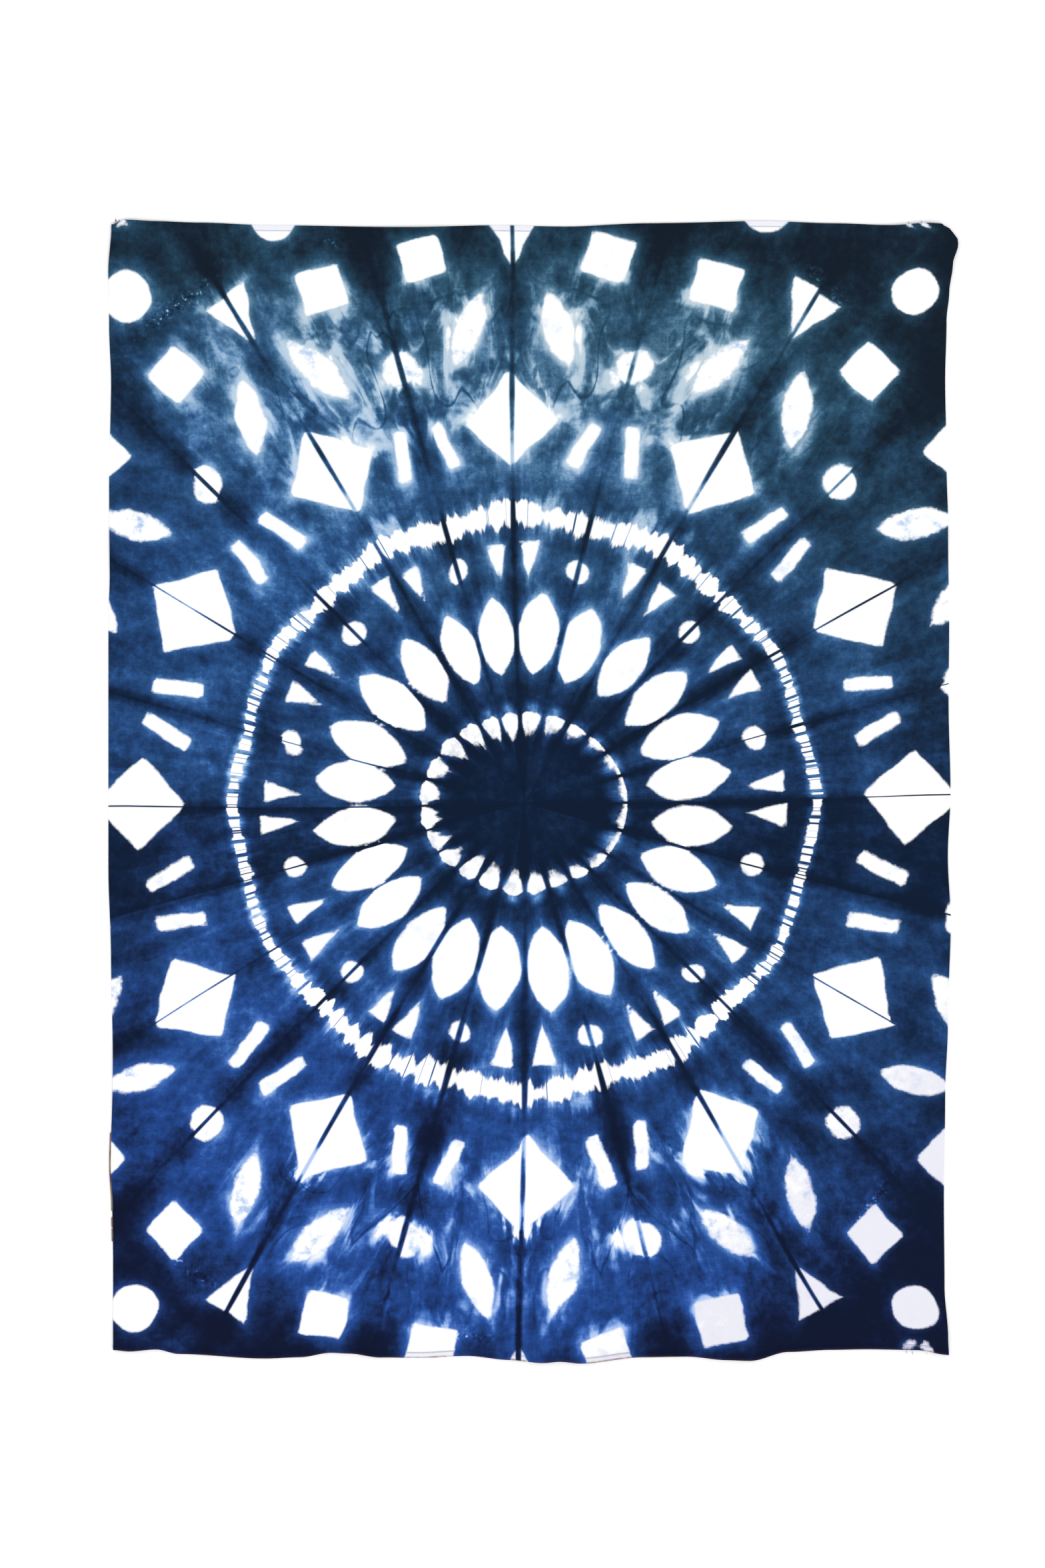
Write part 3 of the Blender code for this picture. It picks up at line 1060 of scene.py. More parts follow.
@dataclass(frozen=True)
class DyedCotton:
    """Plain-weave cotton, indigo-dyed in the bundle, rinsed and pressed.

    The eye sees soft matt blues that pool and wash like water colour, undyed cotton with ragged
    edges where the dye crept under the boards, dark lines along the folds, and a faint cross grain.
    Distances are in metres, and the scale of a noise is how many of its blots make up a metre.
    """

    top_blues: tuple = (
        (0.00, "#B9CBD6"), (0.14, "#84A3B8"), (0.30, "#517892"), (0.46, "#31566E"), (0.62, "#234359"),
        (0.78, "#1A3345"), (0.90, "#152635"), (1.00, "#0F1A28"),
    )
    middle_blues: tuple = (
        (0.00, "#B4CDEA"), (0.14, "#7BA3D2"), (0.30, "#4675AC"), (0.46, "#295289"), (0.62, "#1E3F6D"),
        (0.78, "#162F55"), (0.90, "#0F2442"), (1.00, "#091930"),
    )
    bottom_blues: tuple = (
        (0.00, "#B2C7EE"), (0.14, "#7499D8"), (0.30, "#3E69B6"), (0.46, "#264D97"), (0.62, "#1D3E7E"),
        (0.78, "#172E5E"), (0.90, "#101F45"), (1.00, "#0A132D"),
    )
    undyed: str = "#FCFDFE"
    # Painted shade: the undyed cotton turns lilac grey towards the bottom right
    undyed_shaded_lilac: str = "#E6E6F0"
    crept_blue: str = "#A9C3E6"
    hem_lilac: str = "#D4D6E8"
    # Painted shadow: a grey line along the turned hem's inner edge, drawn only on the white cotton
    hem_edge_shadow: str = "#7D7A92"
    # Painted shadow: a red-brown line along the bottom edge where the cloth turns under
    rim_shadow_brown: str = "#6E3B32"
    # Pools of dye 29 mm across, blots of 11 mm, and the grain of 2.4 mm that the threads give them
    mottles: tuple = (
        Mottle(scale=34.0, detail=4.0, roughness=0.68),
        Mottle(scale=95.0, detail=4.0, roughness=0.62),
        Mottle(scale=420.0, detail=1.0, roughness=0.5),
    )
    # Real threads lie 0.4 mm apart; they are drawn three times as far apart, so that the weave shows
    thread_pitch: float = 0.0012
    weave_depth: float = 0.00016
    slub_share: float = 1.2
    rag_fine: float = 0.0015
    rag_broad: float = 0.0065
    halo_near: float = 0.0085
    halo_wide: float = 0.028
    # How far noise stirs the halos, and at which depths under a board the cotton starts to be white and
    # is fully white, which is deeper where dye crept in
    stir_near: float = 0.014
    stir_wide: float = 0.03
    white_from: float = -0.0021
    white_full: float = 0.0014
    white_crept: float = 0.0026
    layer_spread: float = 0.11
    outermost_tone: float = 0.28
    drift: float = 0.32
    pales: Paling = Paling()
    darkens: Darkening = Darkening()
    # Half width of a fold's line where thin and thick, and how far its shade reaches at sides and ends
    line_half: tuple = (0.0008, 0.0036)
    shade_width: tuple = (0.016, 0.042)
    # The fold's cut in the white, at sides and ends: the least half width, then its soft fringe
    cut_least: tuple = (0.0, 0.0011)
    cut_fringe: tuple = (0.0010, 0.0026)
    roughness: float = 0.88
    roughness_spread: float = 0.06
    sheen: float = 0.03
    specular: float = 0.06

    def fold_frame(self, add: Callable) -> FoldFrame:
        """Work out each point's place among the folds from its place on the unfolded cloth.

        Args:
            add: Adds a node to the material.

        Returns:
            The nodes of those places.
        """
        place = add("Attribute", attribute_name="fold_place").outputs["Vector"]
        parts = add("SeparateXYZ", place)
        turn = add("Math.ARCTAN2", parts.outputs["Y"], parts.outputs["X"])
        reach = add("VectorMath.LENGTH", place)
        endwise = add("ABSOLUTE", add("SINE", turn))
        wedges = add("MULTIPLY", turn, LAYER_COUNT / math.tau)
        wedge_angle = math.tau / LAYER_COUNT
        off_fold = add("PINGPONG", wedges, 0.5)
        off_angle = add("MULTIPLY", off_fold, wedge_angle)
        off_sine = add("SINE", off_angle)
        gap = add("MULTIPLY", off_sine, reach)
        nearest = add("ROUND", wedges)
        number = add("FLOORED_MODULO", nearest, float(LAYER_COUNT))
        off_even = add("PINGPONG", wedges, 1.0)
        even_angle = add("MULTIPLY", off_even, wedge_angle)
        cosine = add("COSINE", even_angle)
        sine = add("SINE", even_angle)
        layer = add("FLOOR", wedges)
        across = add("MULTIPLY", reach, cosine)
        aside = add("MULTIPLY", reach, sine)
        shift = add("MULTIPLY", layer, 0.006)
        mirrored = add("CombineXYZ", across, aside, shift)
        return FoldFrame(turn, reach, endwise, off_fold, gap, number, layer, mirrored)

    def layer_tone(self, add: Callable, fold: FoldFrame) -> Node:
        """Let each wedge take the dye a little differently, and the two outermost ones far more.

        Args:
            add: Adds a node to the material.
            fold: Where the points lie among the folds.

        Returns:
            The change in tone.
        """
        tone = add("TexWhiteNoise", W=fold.layer, noise_dimensions="1D")
        tone = add("MULTIPLY", tone, self.layer_spread)
        for number in OUTERMOST_LAYERS:
            outermost = add("COMPARE", fold.layer, float(number), 0.5)
            tone = add("MULTIPLY_ADD", outermost, self.outermost_tone, tone)
        return tone

    def clouds(self, add: Callable, spot: Socket, fold: FoldFrame) -> Clouds:
        """Pooling and mottling of the dye: broad blots mirror from wedge to wedge, fine ones don't.

        Args:
            add: Adds a node to the material.
            spot: The point's place on the cloth.
            fold: Where the points lie among the folds.

        Returns:
            The noise nodes.
        """
        broad = add("TexNoise", Vector=fold.mirrored, Scale=10.0, Detail=4.0, Roughness=0.55, Distortion=0.5)
        middling, fine, grain = (
            add("TexNoise", Vector=spot, Scale=row.scale, Detail=row.detail, Roughness=row.roughness)
            for row in self.mottles
        )
        run = add("CombineXYZ", add("MULTIPLY", fold.turn, 17.0), add("MULTIPLY", fold.reach, 8.0))
        pleats = add(
            "TexNoise", Vector=run, Scale=1.0, Detail=4.0, Roughness=0.62, Distortion=0.3,
            noise_dimensions="2D",
        )
        pressed = add("MapRange", fold.reach, 0.09, 0.18)
        pleats = add("Mix", pressed, 0.5, pleats)
        return Clouds(broad, middling, fine, grain, pleats)

    def fold_line(self, add: Callable, fold: FoldFrame) -> FoldLine:
        """Draw the dark line and soft shade along every fold: broad near the middle, fine at the sides.

        Args:
            add: Adds a node to the material.
            fold: Where the points lie among the folds.

        Returns:
            The nodes of the lines.
        """
        out, apart = add("MULTIPLY", fold.reach, 6.0), add("MULTIPLY", fold.number, 3.7)
        along = add("CombineXYZ", out, apart)
        wander = add("TexNoise", Vector=along, Scale=1.0, Detail=2.0, noise_dimensions="2D")
        half = add("MapRange", wander, 0.34, 0.68, *self.line_half)
        far_swell = add("MapRange", fold.endwise, 0.45, 0.95, 0.28, 0.95)
        swell = add("MapRange", fold.reach, 0.15, 0.36, 1.2, far_swell)
        narrowed = add("MapRange", fold.reach, 0.04, 0.15, 0.1, 1.2)
        swell = add("MINIMUM", swell, narrowed)
        half = add("MULTIPLY", half, swell)
        outer = add("MULTIPLY_ADD", half, 1.7, 0.0022)
        inner = add("MULTIPLY_ADD", half, 0.2, -0.0006)
        line = add("MapRange", fold.gap, outer, inner, **EASED)
        width = add("MapRange", fold.endwise, 0.3, 0.95, *self.shade_width)
        shade = add("MapRange", fold.gap, width, 0.0, interpolation_type="SMOOTHERSTEP")
        strength = add("MapRange", wander, 0.3, 0.62, 0.3, 1.0)
        shade = add("MULTIPLY", shade, strength)
        first = add("FLOORED_MODULO", fold.number, LAYER_COUNT / 4)
        first = add("LESS_THAN", first, 0.5)
        seen = add("MapRange", fold.reach, 0.06, 0.13)
        seen = add("MAXIMUM", seen, first)
        pressed = add("MapRange", wander, 0.36, 0.52, 0.25, 1.0)
        line = add("MULTIPLY", line, pressed)
        line = add("MULTIPLY", line, seen)
        shade = add("MULTIPLY", shade, seen)
        least = add("MapRange", fold.endwise, 0.45, 0.9, *self.cut_least)
        narrow = add("MULTIPLY_ADD", half, 0.6, least)
        fringe = add("MapRange", fold.endwise, 0.3, 0.9, *self.cut_fringe)
        beyond = add("ADD", narrow, fringe)
        cut = add("MapRange", fold.gap, beyond, narrow, **EASED)
        return FoldLine(line, shade, cut)

    def marks(self, add: Callable, clouds: Clouds) -> Marks:
        """Edge the clamped marks: how white, how pale around them, and how much dye crept in.

        Args:
            add: Adds a node to the material.
            clouds: The dye's noise.

        Returns:
            The nodes of the marks.
        """
        clamped = add("Attribute", attribute_name="clamped").outputs["Fac"]
        creep = add("Attribute", attribute_name="creep").outputs["Fac"]
        rag = add("MULTIPLY_ADD", clouds.grain, self.rag_fine, clamped)
        blur = add("MapRange", creep, 0.0, 1.0, 0.45 * self.rag_broad, 1.9 * self.rag_broad)
        rag = add("MULTIPLY_ADD", clouds.fine, blur, rag)
        mean = add("MULTIPLY_ADD", blur, 0.5, 0.5 * self.rag_fine)
        depth = add("SUBTRACT", rag, mean)
        inmost = add("MULTIPLY_ADD", creep, self.white_crept, self.white_full)
        white = add("MapRange", depth, self.white_from, inmost, **EASED)
        uneven = add("SUBTRACT", clouds.broad, 0.5)
        spread = add("MULTIPLY_ADD", uneven, self.stir_wide, depth)
        close = add("SUBTRACT", clouds.middling, 0.5)
        close = add("MULTIPLY_ADD", close, self.stir_near, depth)
        near = add("MapRange", close, -self.halo_near, 0.002)
        wide = add("MapRange", spread, -self.halo_wide, 0.0, **EASED)
        stain = add("MapRange", clouds.middling, 0.52, 0.7, **EASED)
        stain = add("MULTIPLY", stain, creep)
        return Marks(white, near, wide, stain)

    def binding_edge(self, add: Callable, fold: FoldFrame, clouds: Clouds) -> BindingEdge:
        """Comb the edges of the nearer binding into teeth, long where its folds bulged.

        Args:
            add: Adds a node to the material.
            fold: Where the points lie among the folds.
            clouds: The dye's noise.

        Returns:
            The nodes of the edges.
        """
        inner, outer, half, rag = (
            add("Attribute", attribute_name="binding_" + name).outputs["Fac"]
            for name in ("inner", "outer", "half", "rag")
        )
        halfway = (BINDINGS[0].reach_x + BINDINGS[1].reach_x) / 2 * MM
        beyond = add("GREATER_THAN", fold.reach, halfway)
        signed = add("Mix", beyond, inner, outer)
        line_reach, inward, softest, reached = (
            add("Mix", beyond, *(getattr(row, column) * unit for row in BINDINGS))
            for column, unit in (("reach_x", MM), ("inward", 1.0), ("soft", -MM), ("streaks", -MM))
        )
        within = add("LESS_THAN", signed, 0.0)
        stretch = add("Mix", within, 1.0, inward)
        distance = add("ABSOLUTE", signed)
        aside = add("DIVIDE", distance, stretch)
        arc = add("MULTIPLY", fold.turn, line_reach)
        combed = add("CombineXYZ", arc, add("MULTIPLY", fold.reach, 0.12))
        least = add("MapRange", rag, 0.001, 0.0016, 0.85, 0.66)
        most = add("MapRange", rag, 0.001, 0.0016, 1.15, 1.25)
        teeth = add("TexNoise", W=arc, Scale=46.0, Detail=1.0, noise_dimensions="1D")
        teeth = add("MapRange", teeth, 0.34, 0.6, least, most, **EASED)
        bulge = add("MapRange", fold.off_fold, 0.03, 0.34, 0.25, 1.25, **EASED)
        bulge = add("Mix", beyond, bulge, 1.0)
        teeth = add("MULTIPLY", teeth, bulge)
        depth = add("SUBTRACT", add("MULTIPLY", half, teeth), aside)
        spikes = add("TexNoise", Vector=combed, Scale=120.0, Detail=2.0, Roughness=0.6, noise_dimensions="2D")
        fuzz = add("Mix", beyond, clouds.middling, clouds.fine)
        for noise, spread in ((spikes, add("MULTIPLY", rag, 3.0)), (fuzz, 0.009)):
            depth = add("MULTIPLY_ADD", add("SUBTRACT", noise, 0.5), spread, depth)
        return BindingEdge(beyond, within, signed, distance, arc, combed, softest, reached, depth)

    def bindings(self, add: Callable, fold: FoldFrame, clouds: Clouds) -> Bound:
        """Feather the two thread bindings: how white, and how pale around them.

        Args:
            add: Adds a node to the material.
            fold: Where the points lie among the folds.
            clouds: The dye's noise.

        Returns:
            The nodes of the bindings.
        """
        edge = self.binding_edge(add, fold, clouds)
        soft = add("MapRange", fold.endwise, 0.7, 0.97, -0.001, edge.softest)
        white = add("MapRange", edge.depth, soft, 0.0014, **EASED)
        threads = add("TexNoise", W=edge.arc, Scale=150.0, Detail=2.0, noise_dimensions="1D")
        gathered = add("MapRange", fold.endwise, 0.85, 0.35, 0.7, 0.52)
        full = add("ADD", gathered, 0.04)
        crossed = add("MapRange", threads, full, gathered, **EASED)
        dulled = add("MapRange", clouds.middling, 0.38, 0.52, 0.7, 1.0)
        white = add("MULTIPLY", white, add("Mix", edge.beyond, dulled, crossed))
        beads = add("MapRange", threads, 0.46, 0.52, 0.0, 0.75, **EASED)
        cord = add("MapRange", edge.distance, 0.0021, 0.0011, **EASED)
        beads = add("Mix", edge.beyond, add("MULTIPLY", beads, cord), 0.0)
        white = add("MAXIMUM", white, beads)
        faded = add("MapRange", fold.endwise, 0.5, 0.9, -0.009, -0.024)
        ghost = add("Mix", edge.within, -0.015, -0.0075)
        faded = add("Mix", edge.beyond, ghost, faded)
        pale = add("MapRange", edge.depth, faded, 0.0, **EASED)
        lobes = add("MapRange", edge.depth, -0.02, -0.006, **EASED)
        for value, least, most in ((fold.endwise, 0.80, 0.97), (fold.off_fold, 0.06, 0.42)):
            lobes = add("MULTIPLY", lobes, add("MapRange", value, least, most, **EASED))
        runs = add("TexNoise", W=edge.arc, Scale=17.0, Detail=1.0, noise_dimensions="1D")
        runs = add("MapRange", runs, 0.46, 0.66, **EASED)
        run_out = add("MULTIPLY_ADD", runs, 0.024, edge.depth)
        run_out = add("MapRange", run_out, -0.012, 0.008, **EASED)
        for share in (add("MapRange", fold.endwise, 0.7, 0.92), run_out):
            runs = add("MULTIPLY", runs, share)
        past_it = add("MapRange", edge.signed, 0.0, 0.002, 0.0, 1.6)
        ghosts = add("MULTIPLY", add("Mix", edge.beyond, lobes, runs), past_it)
        pale = add("MAXIMUM", pale, ghosts)
        wisps = add(
            "TexNoise", Vector=edge.combed, Scale=100.0, Detail=3.0, Roughness=0.6, noise_dimensions="2D")
        around = add("MapRange", edge.depth, edge.reached, -0.001, **EASED)
        streaks = add("MULTIPLY", add("SUBTRACT", wisps, 0.5), around)
        return Bound(white, pale, streaks)

    def washed(self, add: Callable, fold: FoldFrame, marks: Marks) -> Wash:
        """Marble the places where thin dye washed through: pale veils, crumple lines and white smears.

        Args:
            add: Adds a node to the material.
            fold: Where the points lie among the folds.
            marks: The clamped marks.

        Returns:
            The nodes of the washed places.
        """
        wash = add("Attribute", attribute_name="wash").outputs["Fac"]
        drawn = add("VectorMath.MULTIPLY", fold.mirrored, (0.5, 1.2, 1.0))
        swirl = add("TexNoise", Vector=drawn, Scale=22.0, Detail=3.0, Roughness=0.55, Distortion=0.8)
        veil = add("MapRange", swirl, 0.45, 0.72, **EASED)
        veil = add("MULTIPLY", veil, wash)
        creases = add("TexNoise", Vector=drawn, Scale=11.0, Detail=2.0, Roughness=0.45, Distortion=1.1)
        centred = add("SUBTRACT", creases, 0.5)
        centred = add("ABSOLUTE", centred)
        crumple = add("MapRange", centred, 0.024, 0.0, **EASED)
        seen = add("MapRange", veil, 0.0, 0.5, 0.4, 1.0)
        seen = add("MULTIPLY", seen, wash)
        crumple = add("MULTIPLY", crumple, seen)
        smear = add("MapRange", swirl, 0.47, 0.66, **EASED)
        smear = add("MULTIPLY", smear, wash)
        smear = add("MULTIPLY", smear, marks.wide)
        return Wash(veil, crumple, smear)

    def specks(self, add: Callable, spot: Socket) -> Node:
        """Pale specks and dark hairs where a crease crumpled: above 0 for pale and below 0 for dark.

        Args:
            add: Adds a node to the material.
            spot: The point's place on the cloth.

        Returns:
            The specks.
        """
        crackle = add("Attribute", attribute_name="crackle").outputs["Fac"]
        drawn = add("TexNoise", Vector=spot, Scale=170.0, Detail=2.0, Distortion=0.5)
        pale = add("MapRange", drawn, 0.59, 0.66, **EASED)
        dark = add("MapRange", drawn, 0.46, 0.36, 0.0, 0.5, **EASED)
        specks = add("SUBTRACT", pale, dark)
        return add("MULTIPLY", specks, crackle)

    def summed(self, add: Callable, start: object, shares: tuple) -> Node:
        """Add the weighted shares to a value.

        Args:
            add: Adds a node to the material.
            start: What they are added to.
            shares: The nodes and their weights.

        Returns:
            The sum.
        """
        total = start
        for share in shares:
            total = add("MULTIPLY_ADD", share.node, share.weight, total)
        return total

    def slubs(self, add: Callable, spot: Socket) -> Node:
        """Short thicker runs of warp and weft, as a cross of streaks.

        Args:
            add: Adds a node to the material.
            spot: The point's place on the cloth.

        Returns:
            The streaks, about 1 where the cloth is plain.
        """
        streaks = []
        for stretch in ((26.0, 520.0, 1.0), (520.0, 26.0, 1.0)):
            drawn = add("VectorMath.MULTIPLY", spot, stretch)
            streaks.append(add("TexNoise", Vector=drawn, Scale=1.0, Detail=1.0))
        return add("ADD", streaks[0], streaks[1])

    def blue(self, add: Callable, along: Node, tone: Node, clouds: Clouds) -> Node:
        """Turn the tone into blue: teal at the top of the cloth, ultramarine at its bottom.

        Args:
            add: Adds a node to the material.
            along: The point's place from the blue lower left to the teal upper right, in metres.
            tone: How dark the dye took, from 0 to 1.
            clouds: The dye's noise.

        Returns:
            The colour.
        """
        height = add("MULTIPLY_ADD", clouds.broad, 0.5, along)
        top = add("MapRange", height, 0.28, 0.98, **EASED)
        bottom = add("MapRange", height, 0.22, -0.42, **EASED)
        colour = add("ValToRGB", tone, stops=self.middle_blues)
        for share, stops in ((top, self.top_blues), (bottom, self.bottom_blues)):
            colour = add("Mix", share, colour, add("ValToRGB", tone, stops=stops), data_type="RGBA")
        return colour

    def weave(self, add: Callable, spot: Node) -> Node:
        """Height of the plain weave: threads go over and under each other in turn.

        Args:
            add: Adds a node to the material.
            spot: The point's place on the cloth.

        Returns:
            The height, from -1 to 1.
        """
        waves = []
        for axis in ("X", "Y"):
            phase = add("MULTIPLY", spot.outputs[axis], math.pi / self.thread_pitch)
            waves.append(add("SINE", phase))
        return add("MULTIPLY", waves[0], waves[1])

    def undyed_share(self, add: Callable, marks: Marks, bound: Bound, wash: Wash, line: FoldLine) -> Node:
        """Tell how much of the cotton stayed white, with the fold lines cut through it.

        Args:
            add: Adds a node to the material.
            marks: The clamped marks.
            bound: The thread bindings.
            wash: The washed places.
            line: The lines along the folds.

        Returns:
            The share, from 0 to 1.
        """
        share = add("MAXIMUM", marks.white, bound.white)
        smear = add("MapRange", wash.smear, 0.45, 0.85, **EASED)
        share = add("MAXIMUM", share, smear)
        return add("MULTIPLY", share, add("SUBTRACT", 1.0, line.cut))

    def undyed_cotton(self, add: Callable, spot: Node, marks: Marks, clouds: Clouds) -> Node:
        """Colour of the undyed cotton: near white, with painted lilac shade at the bottom right, blue where
        dye crept in.

        Args:
            add: Adds a node to the material.
            spot: The point's place on the cloth.
            marks: The clamped marks.
            clouds: The dye's noise.

        Returns:
            The colour.
        """
        slope = add("SUBTRACT", spot.outputs["X"], spot.outputs["Y"])
        slope = add("MULTIPLY_ADD", clouds.middling, 0.5, slope)
        # Painted shade that turns the white cotton lilac grey towards the bottom right
        lilac = add("MapRange", slope, 1.03, 1.2, **EASED)
        colour = add("Mix", lilac, linear(self.undyed), linear(self.undyed_shaded_lilac), data_type="RGBA")
        return add("Mix", marks.stain, colour, linear(self.crept_blue), data_type="RGBA")

    def turned_hem(self, add: Callable, colour: Node, white: Node, clouds: Clouds) -> Node:
        """Tint the double cloth of the hems, paint a shadow line along its turned edge, and paint a red-brown
        shadow along the very rim.

        Args:
            add: Adds a node to the material.
            colour: The colour of the single cloth.
            white: How much of the cotton stayed white.
            clouds: The dye's noise.

        Returns:
            The colour with the hems in it.
        """
        hem = add("Attribute", attribute_name="hem").outputs["Fac"]
        rim = add("Attribute", attribute_name="rim").outputs["Fac"]
        beyond = add("SUBTRACT", 1.0, hem)
        # Patches in which the bottom rim's painted shadow is stronger, and its strength, higher on white
        # cotton
        rim_shadow_patches = add("MapRange", clouds.middling, 0.4, 0.56, 0.25, 1.0)
        rim_shadow_share = add("MULTIPLY_ADD", white, 0.75, 0.25)
        for tint, *shares in (
            (self.hem_lilac, hem, white, 0.5),
            # painted shadow line along the hem's turned edge, on white cotton only
            (self.hem_edge_shadow, hem, beyond, white, 2.0),
            # painted red-brown shadow along the bottom rim, in patches
            (self.rim_shadow_brown, rim_shadow_share, rim_shadow_patches, rim),
        ):
            strength = shares[0]
            for share in shares[1:]:
                strength = add("MULTIPLY", strength, share)
            colour = add("Mix", strength, colour, linear(tint), data_type="RGBA")
        return colour

    def build(self) -> Material:
        """Make the material.

        Returns:
            The finished material.
        """
        graph = Graph("indigo_dyed_plain_weave_cotton")
        add = graph.add
        spot = add("TexCoord").outputs["Object"]
        parts = add("SeparateXYZ", spot)
        fold = self.fold_frame(add)
        clouds = self.clouds(add, spot, fold)
        line = self.fold_line(add, fold)
        marks = self.marks(add, clouds)
        bound = self.bindings(add, fold, clouds)
        wash = self.washed(add, fold, marks)
        slubs = self.slubs(add, spot)
        tone = add("Attribute", attribute_name="tone").outputs["Fac"]
        spread = add("MapRange", fold.endwise, 0.1, 0.9, 0.06, 1.0)
        pales, darkens = self.pales, self.darkens
        glow = (Share(marks.near, pales.glow_near), Share(marks.wide, pales.glow_wide))
        glow = add("MULTIPLY", self.summed(add, 0.0, glow), spread)
        paler = self.summed(add, glow, (
            Share(marks.near, pales.near),
            Share(bound.pale, pales.bound),
            Share(wash.veil, pales.veil),
            Share(wash.smear, pales.smear),
        ))
        open_cloth = add("SUBTRACT", 1.0, line.dark)
        paler = add("MULTIPLY", paler, open_cloth)
        shares = (
            Share(self.layer_tone(add, fold), 1.0, mean=0.5 * self.layer_spread),
            Share(clouds.broad, darkens.broad, mean=0.5),
            Share(clouds.middling, darkens.middling, mean=0.5),
            Share(clouds.fine, darkens.fine, mean=0.5),
            Share(clouds.grain, darkens.grain, mean=0.5),
            Share(clouds.pleats, darkens.pleats, mean=0.5),
            Share(line.dark, darkens.fold_line),
            Share(line.shade, darkens.fold_shade),
            Share(paler, -1.0),
            Share(bound.streaks, darkens.streaks),
            Share(wash.crumple, darkens.crumple),
            Share(slubs, darkens.slubs, mean=1.0),
            Share(self.specks(add, spot), darkens.specks),
            Share(marks.white, darkens.white),
        )
        tone = self.summed(add, tone, shares)
        tone = add("SUBTRACT", tone, sum(share.weight * share.mean for share in shares))
        tone = add("SMOOTH_MIN", tone, 1.0, 0.35)
        tone = add("SMOOTH_MAX", tone, 0.0, 0.25)
        drift = add("MULTIPLY_ADD", parts.outputs["X"], self.drift, parts.outputs["Y"])
        blue = self.blue(add, drift, tone, clouds)
        white = self.undyed_share(add, marks, bound, wash, line)
        cotton = self.undyed_cotton(add, parts, marks, clouds)
        colour = add("Mix", white, blue, cotton, data_type="RGBA")
        colour = self.turned_hem(add, colour, white, clouds)
        height = add("MULTIPLY_ADD", slubs, self.slub_share, self.weave(add, parts))
        bump = add("Bump", Height=height, Distance=self.weave_depth, Strength=0.6)
        dullest, glossiest = self.roughness - self.roughness_spread, self.roughness + self.roughness_spread
        rough = add("MapRange", clouds.fine, 0.0, 1.0, dullest, glossiest)
        shader = add(
            "BsdfPrincipled", Base_Color=colour, Roughness=rough, Normal=bump,
            Specular_IOR_Level=self.specular, Sheen_Weight=self.sheen, Sheen_Roughness=0.5,
        )
        add("OutputMaterial", Surface=shader)
        return graph.material


def dyed(
    piece: Object, form: PanelForm, x: Array, y: Array, **shares: Array
) -> None:
    """Store at every point of a mesh what the dye bath did there, for the cotton to read.

    Args:
        piece: The piece to be dyed.
        form: The panel that it belongs to.
        x: Each point's place across the flat panel.
        y: Each point's place along the flat panel.
        shares: Further values for the points, under their attributes' names, in place of 0.
    """
    bath = FoldedDye(form, x, y)
    depth, creep = bath.clamped()
    values = {
        "fold_place": bath.place(),
        "clamped": depth,
        "creep": creep,
        "binding_inner": bath.bound(BINDINGS[0]),
        "binding_outer": bath.bound(BINDINGS[1]),
        "binding_half": bath.bound_size("side_half_width", "end_half_width"),
        "binding_rag": bath.bound_size("side_rag", "end_rag"),
        "tone": bath.tone(),
        "wash": bath.wash(),
        "crackle": bath.crackle(),
        "hem": np.zeros_like(x),
        "rim": np.zeros_like(x),
        **shares,
    }
    for name, rows in values.items():
        kind, key = ("FLOAT_VECTOR", "vector") if rows.ndim == 2 else ("FLOAT", "value")
        layer = piece.data.attributes.new(name, kind, "POINT")
        layer.data.foreach_set(key, rows.astype(np.float32).ravel())


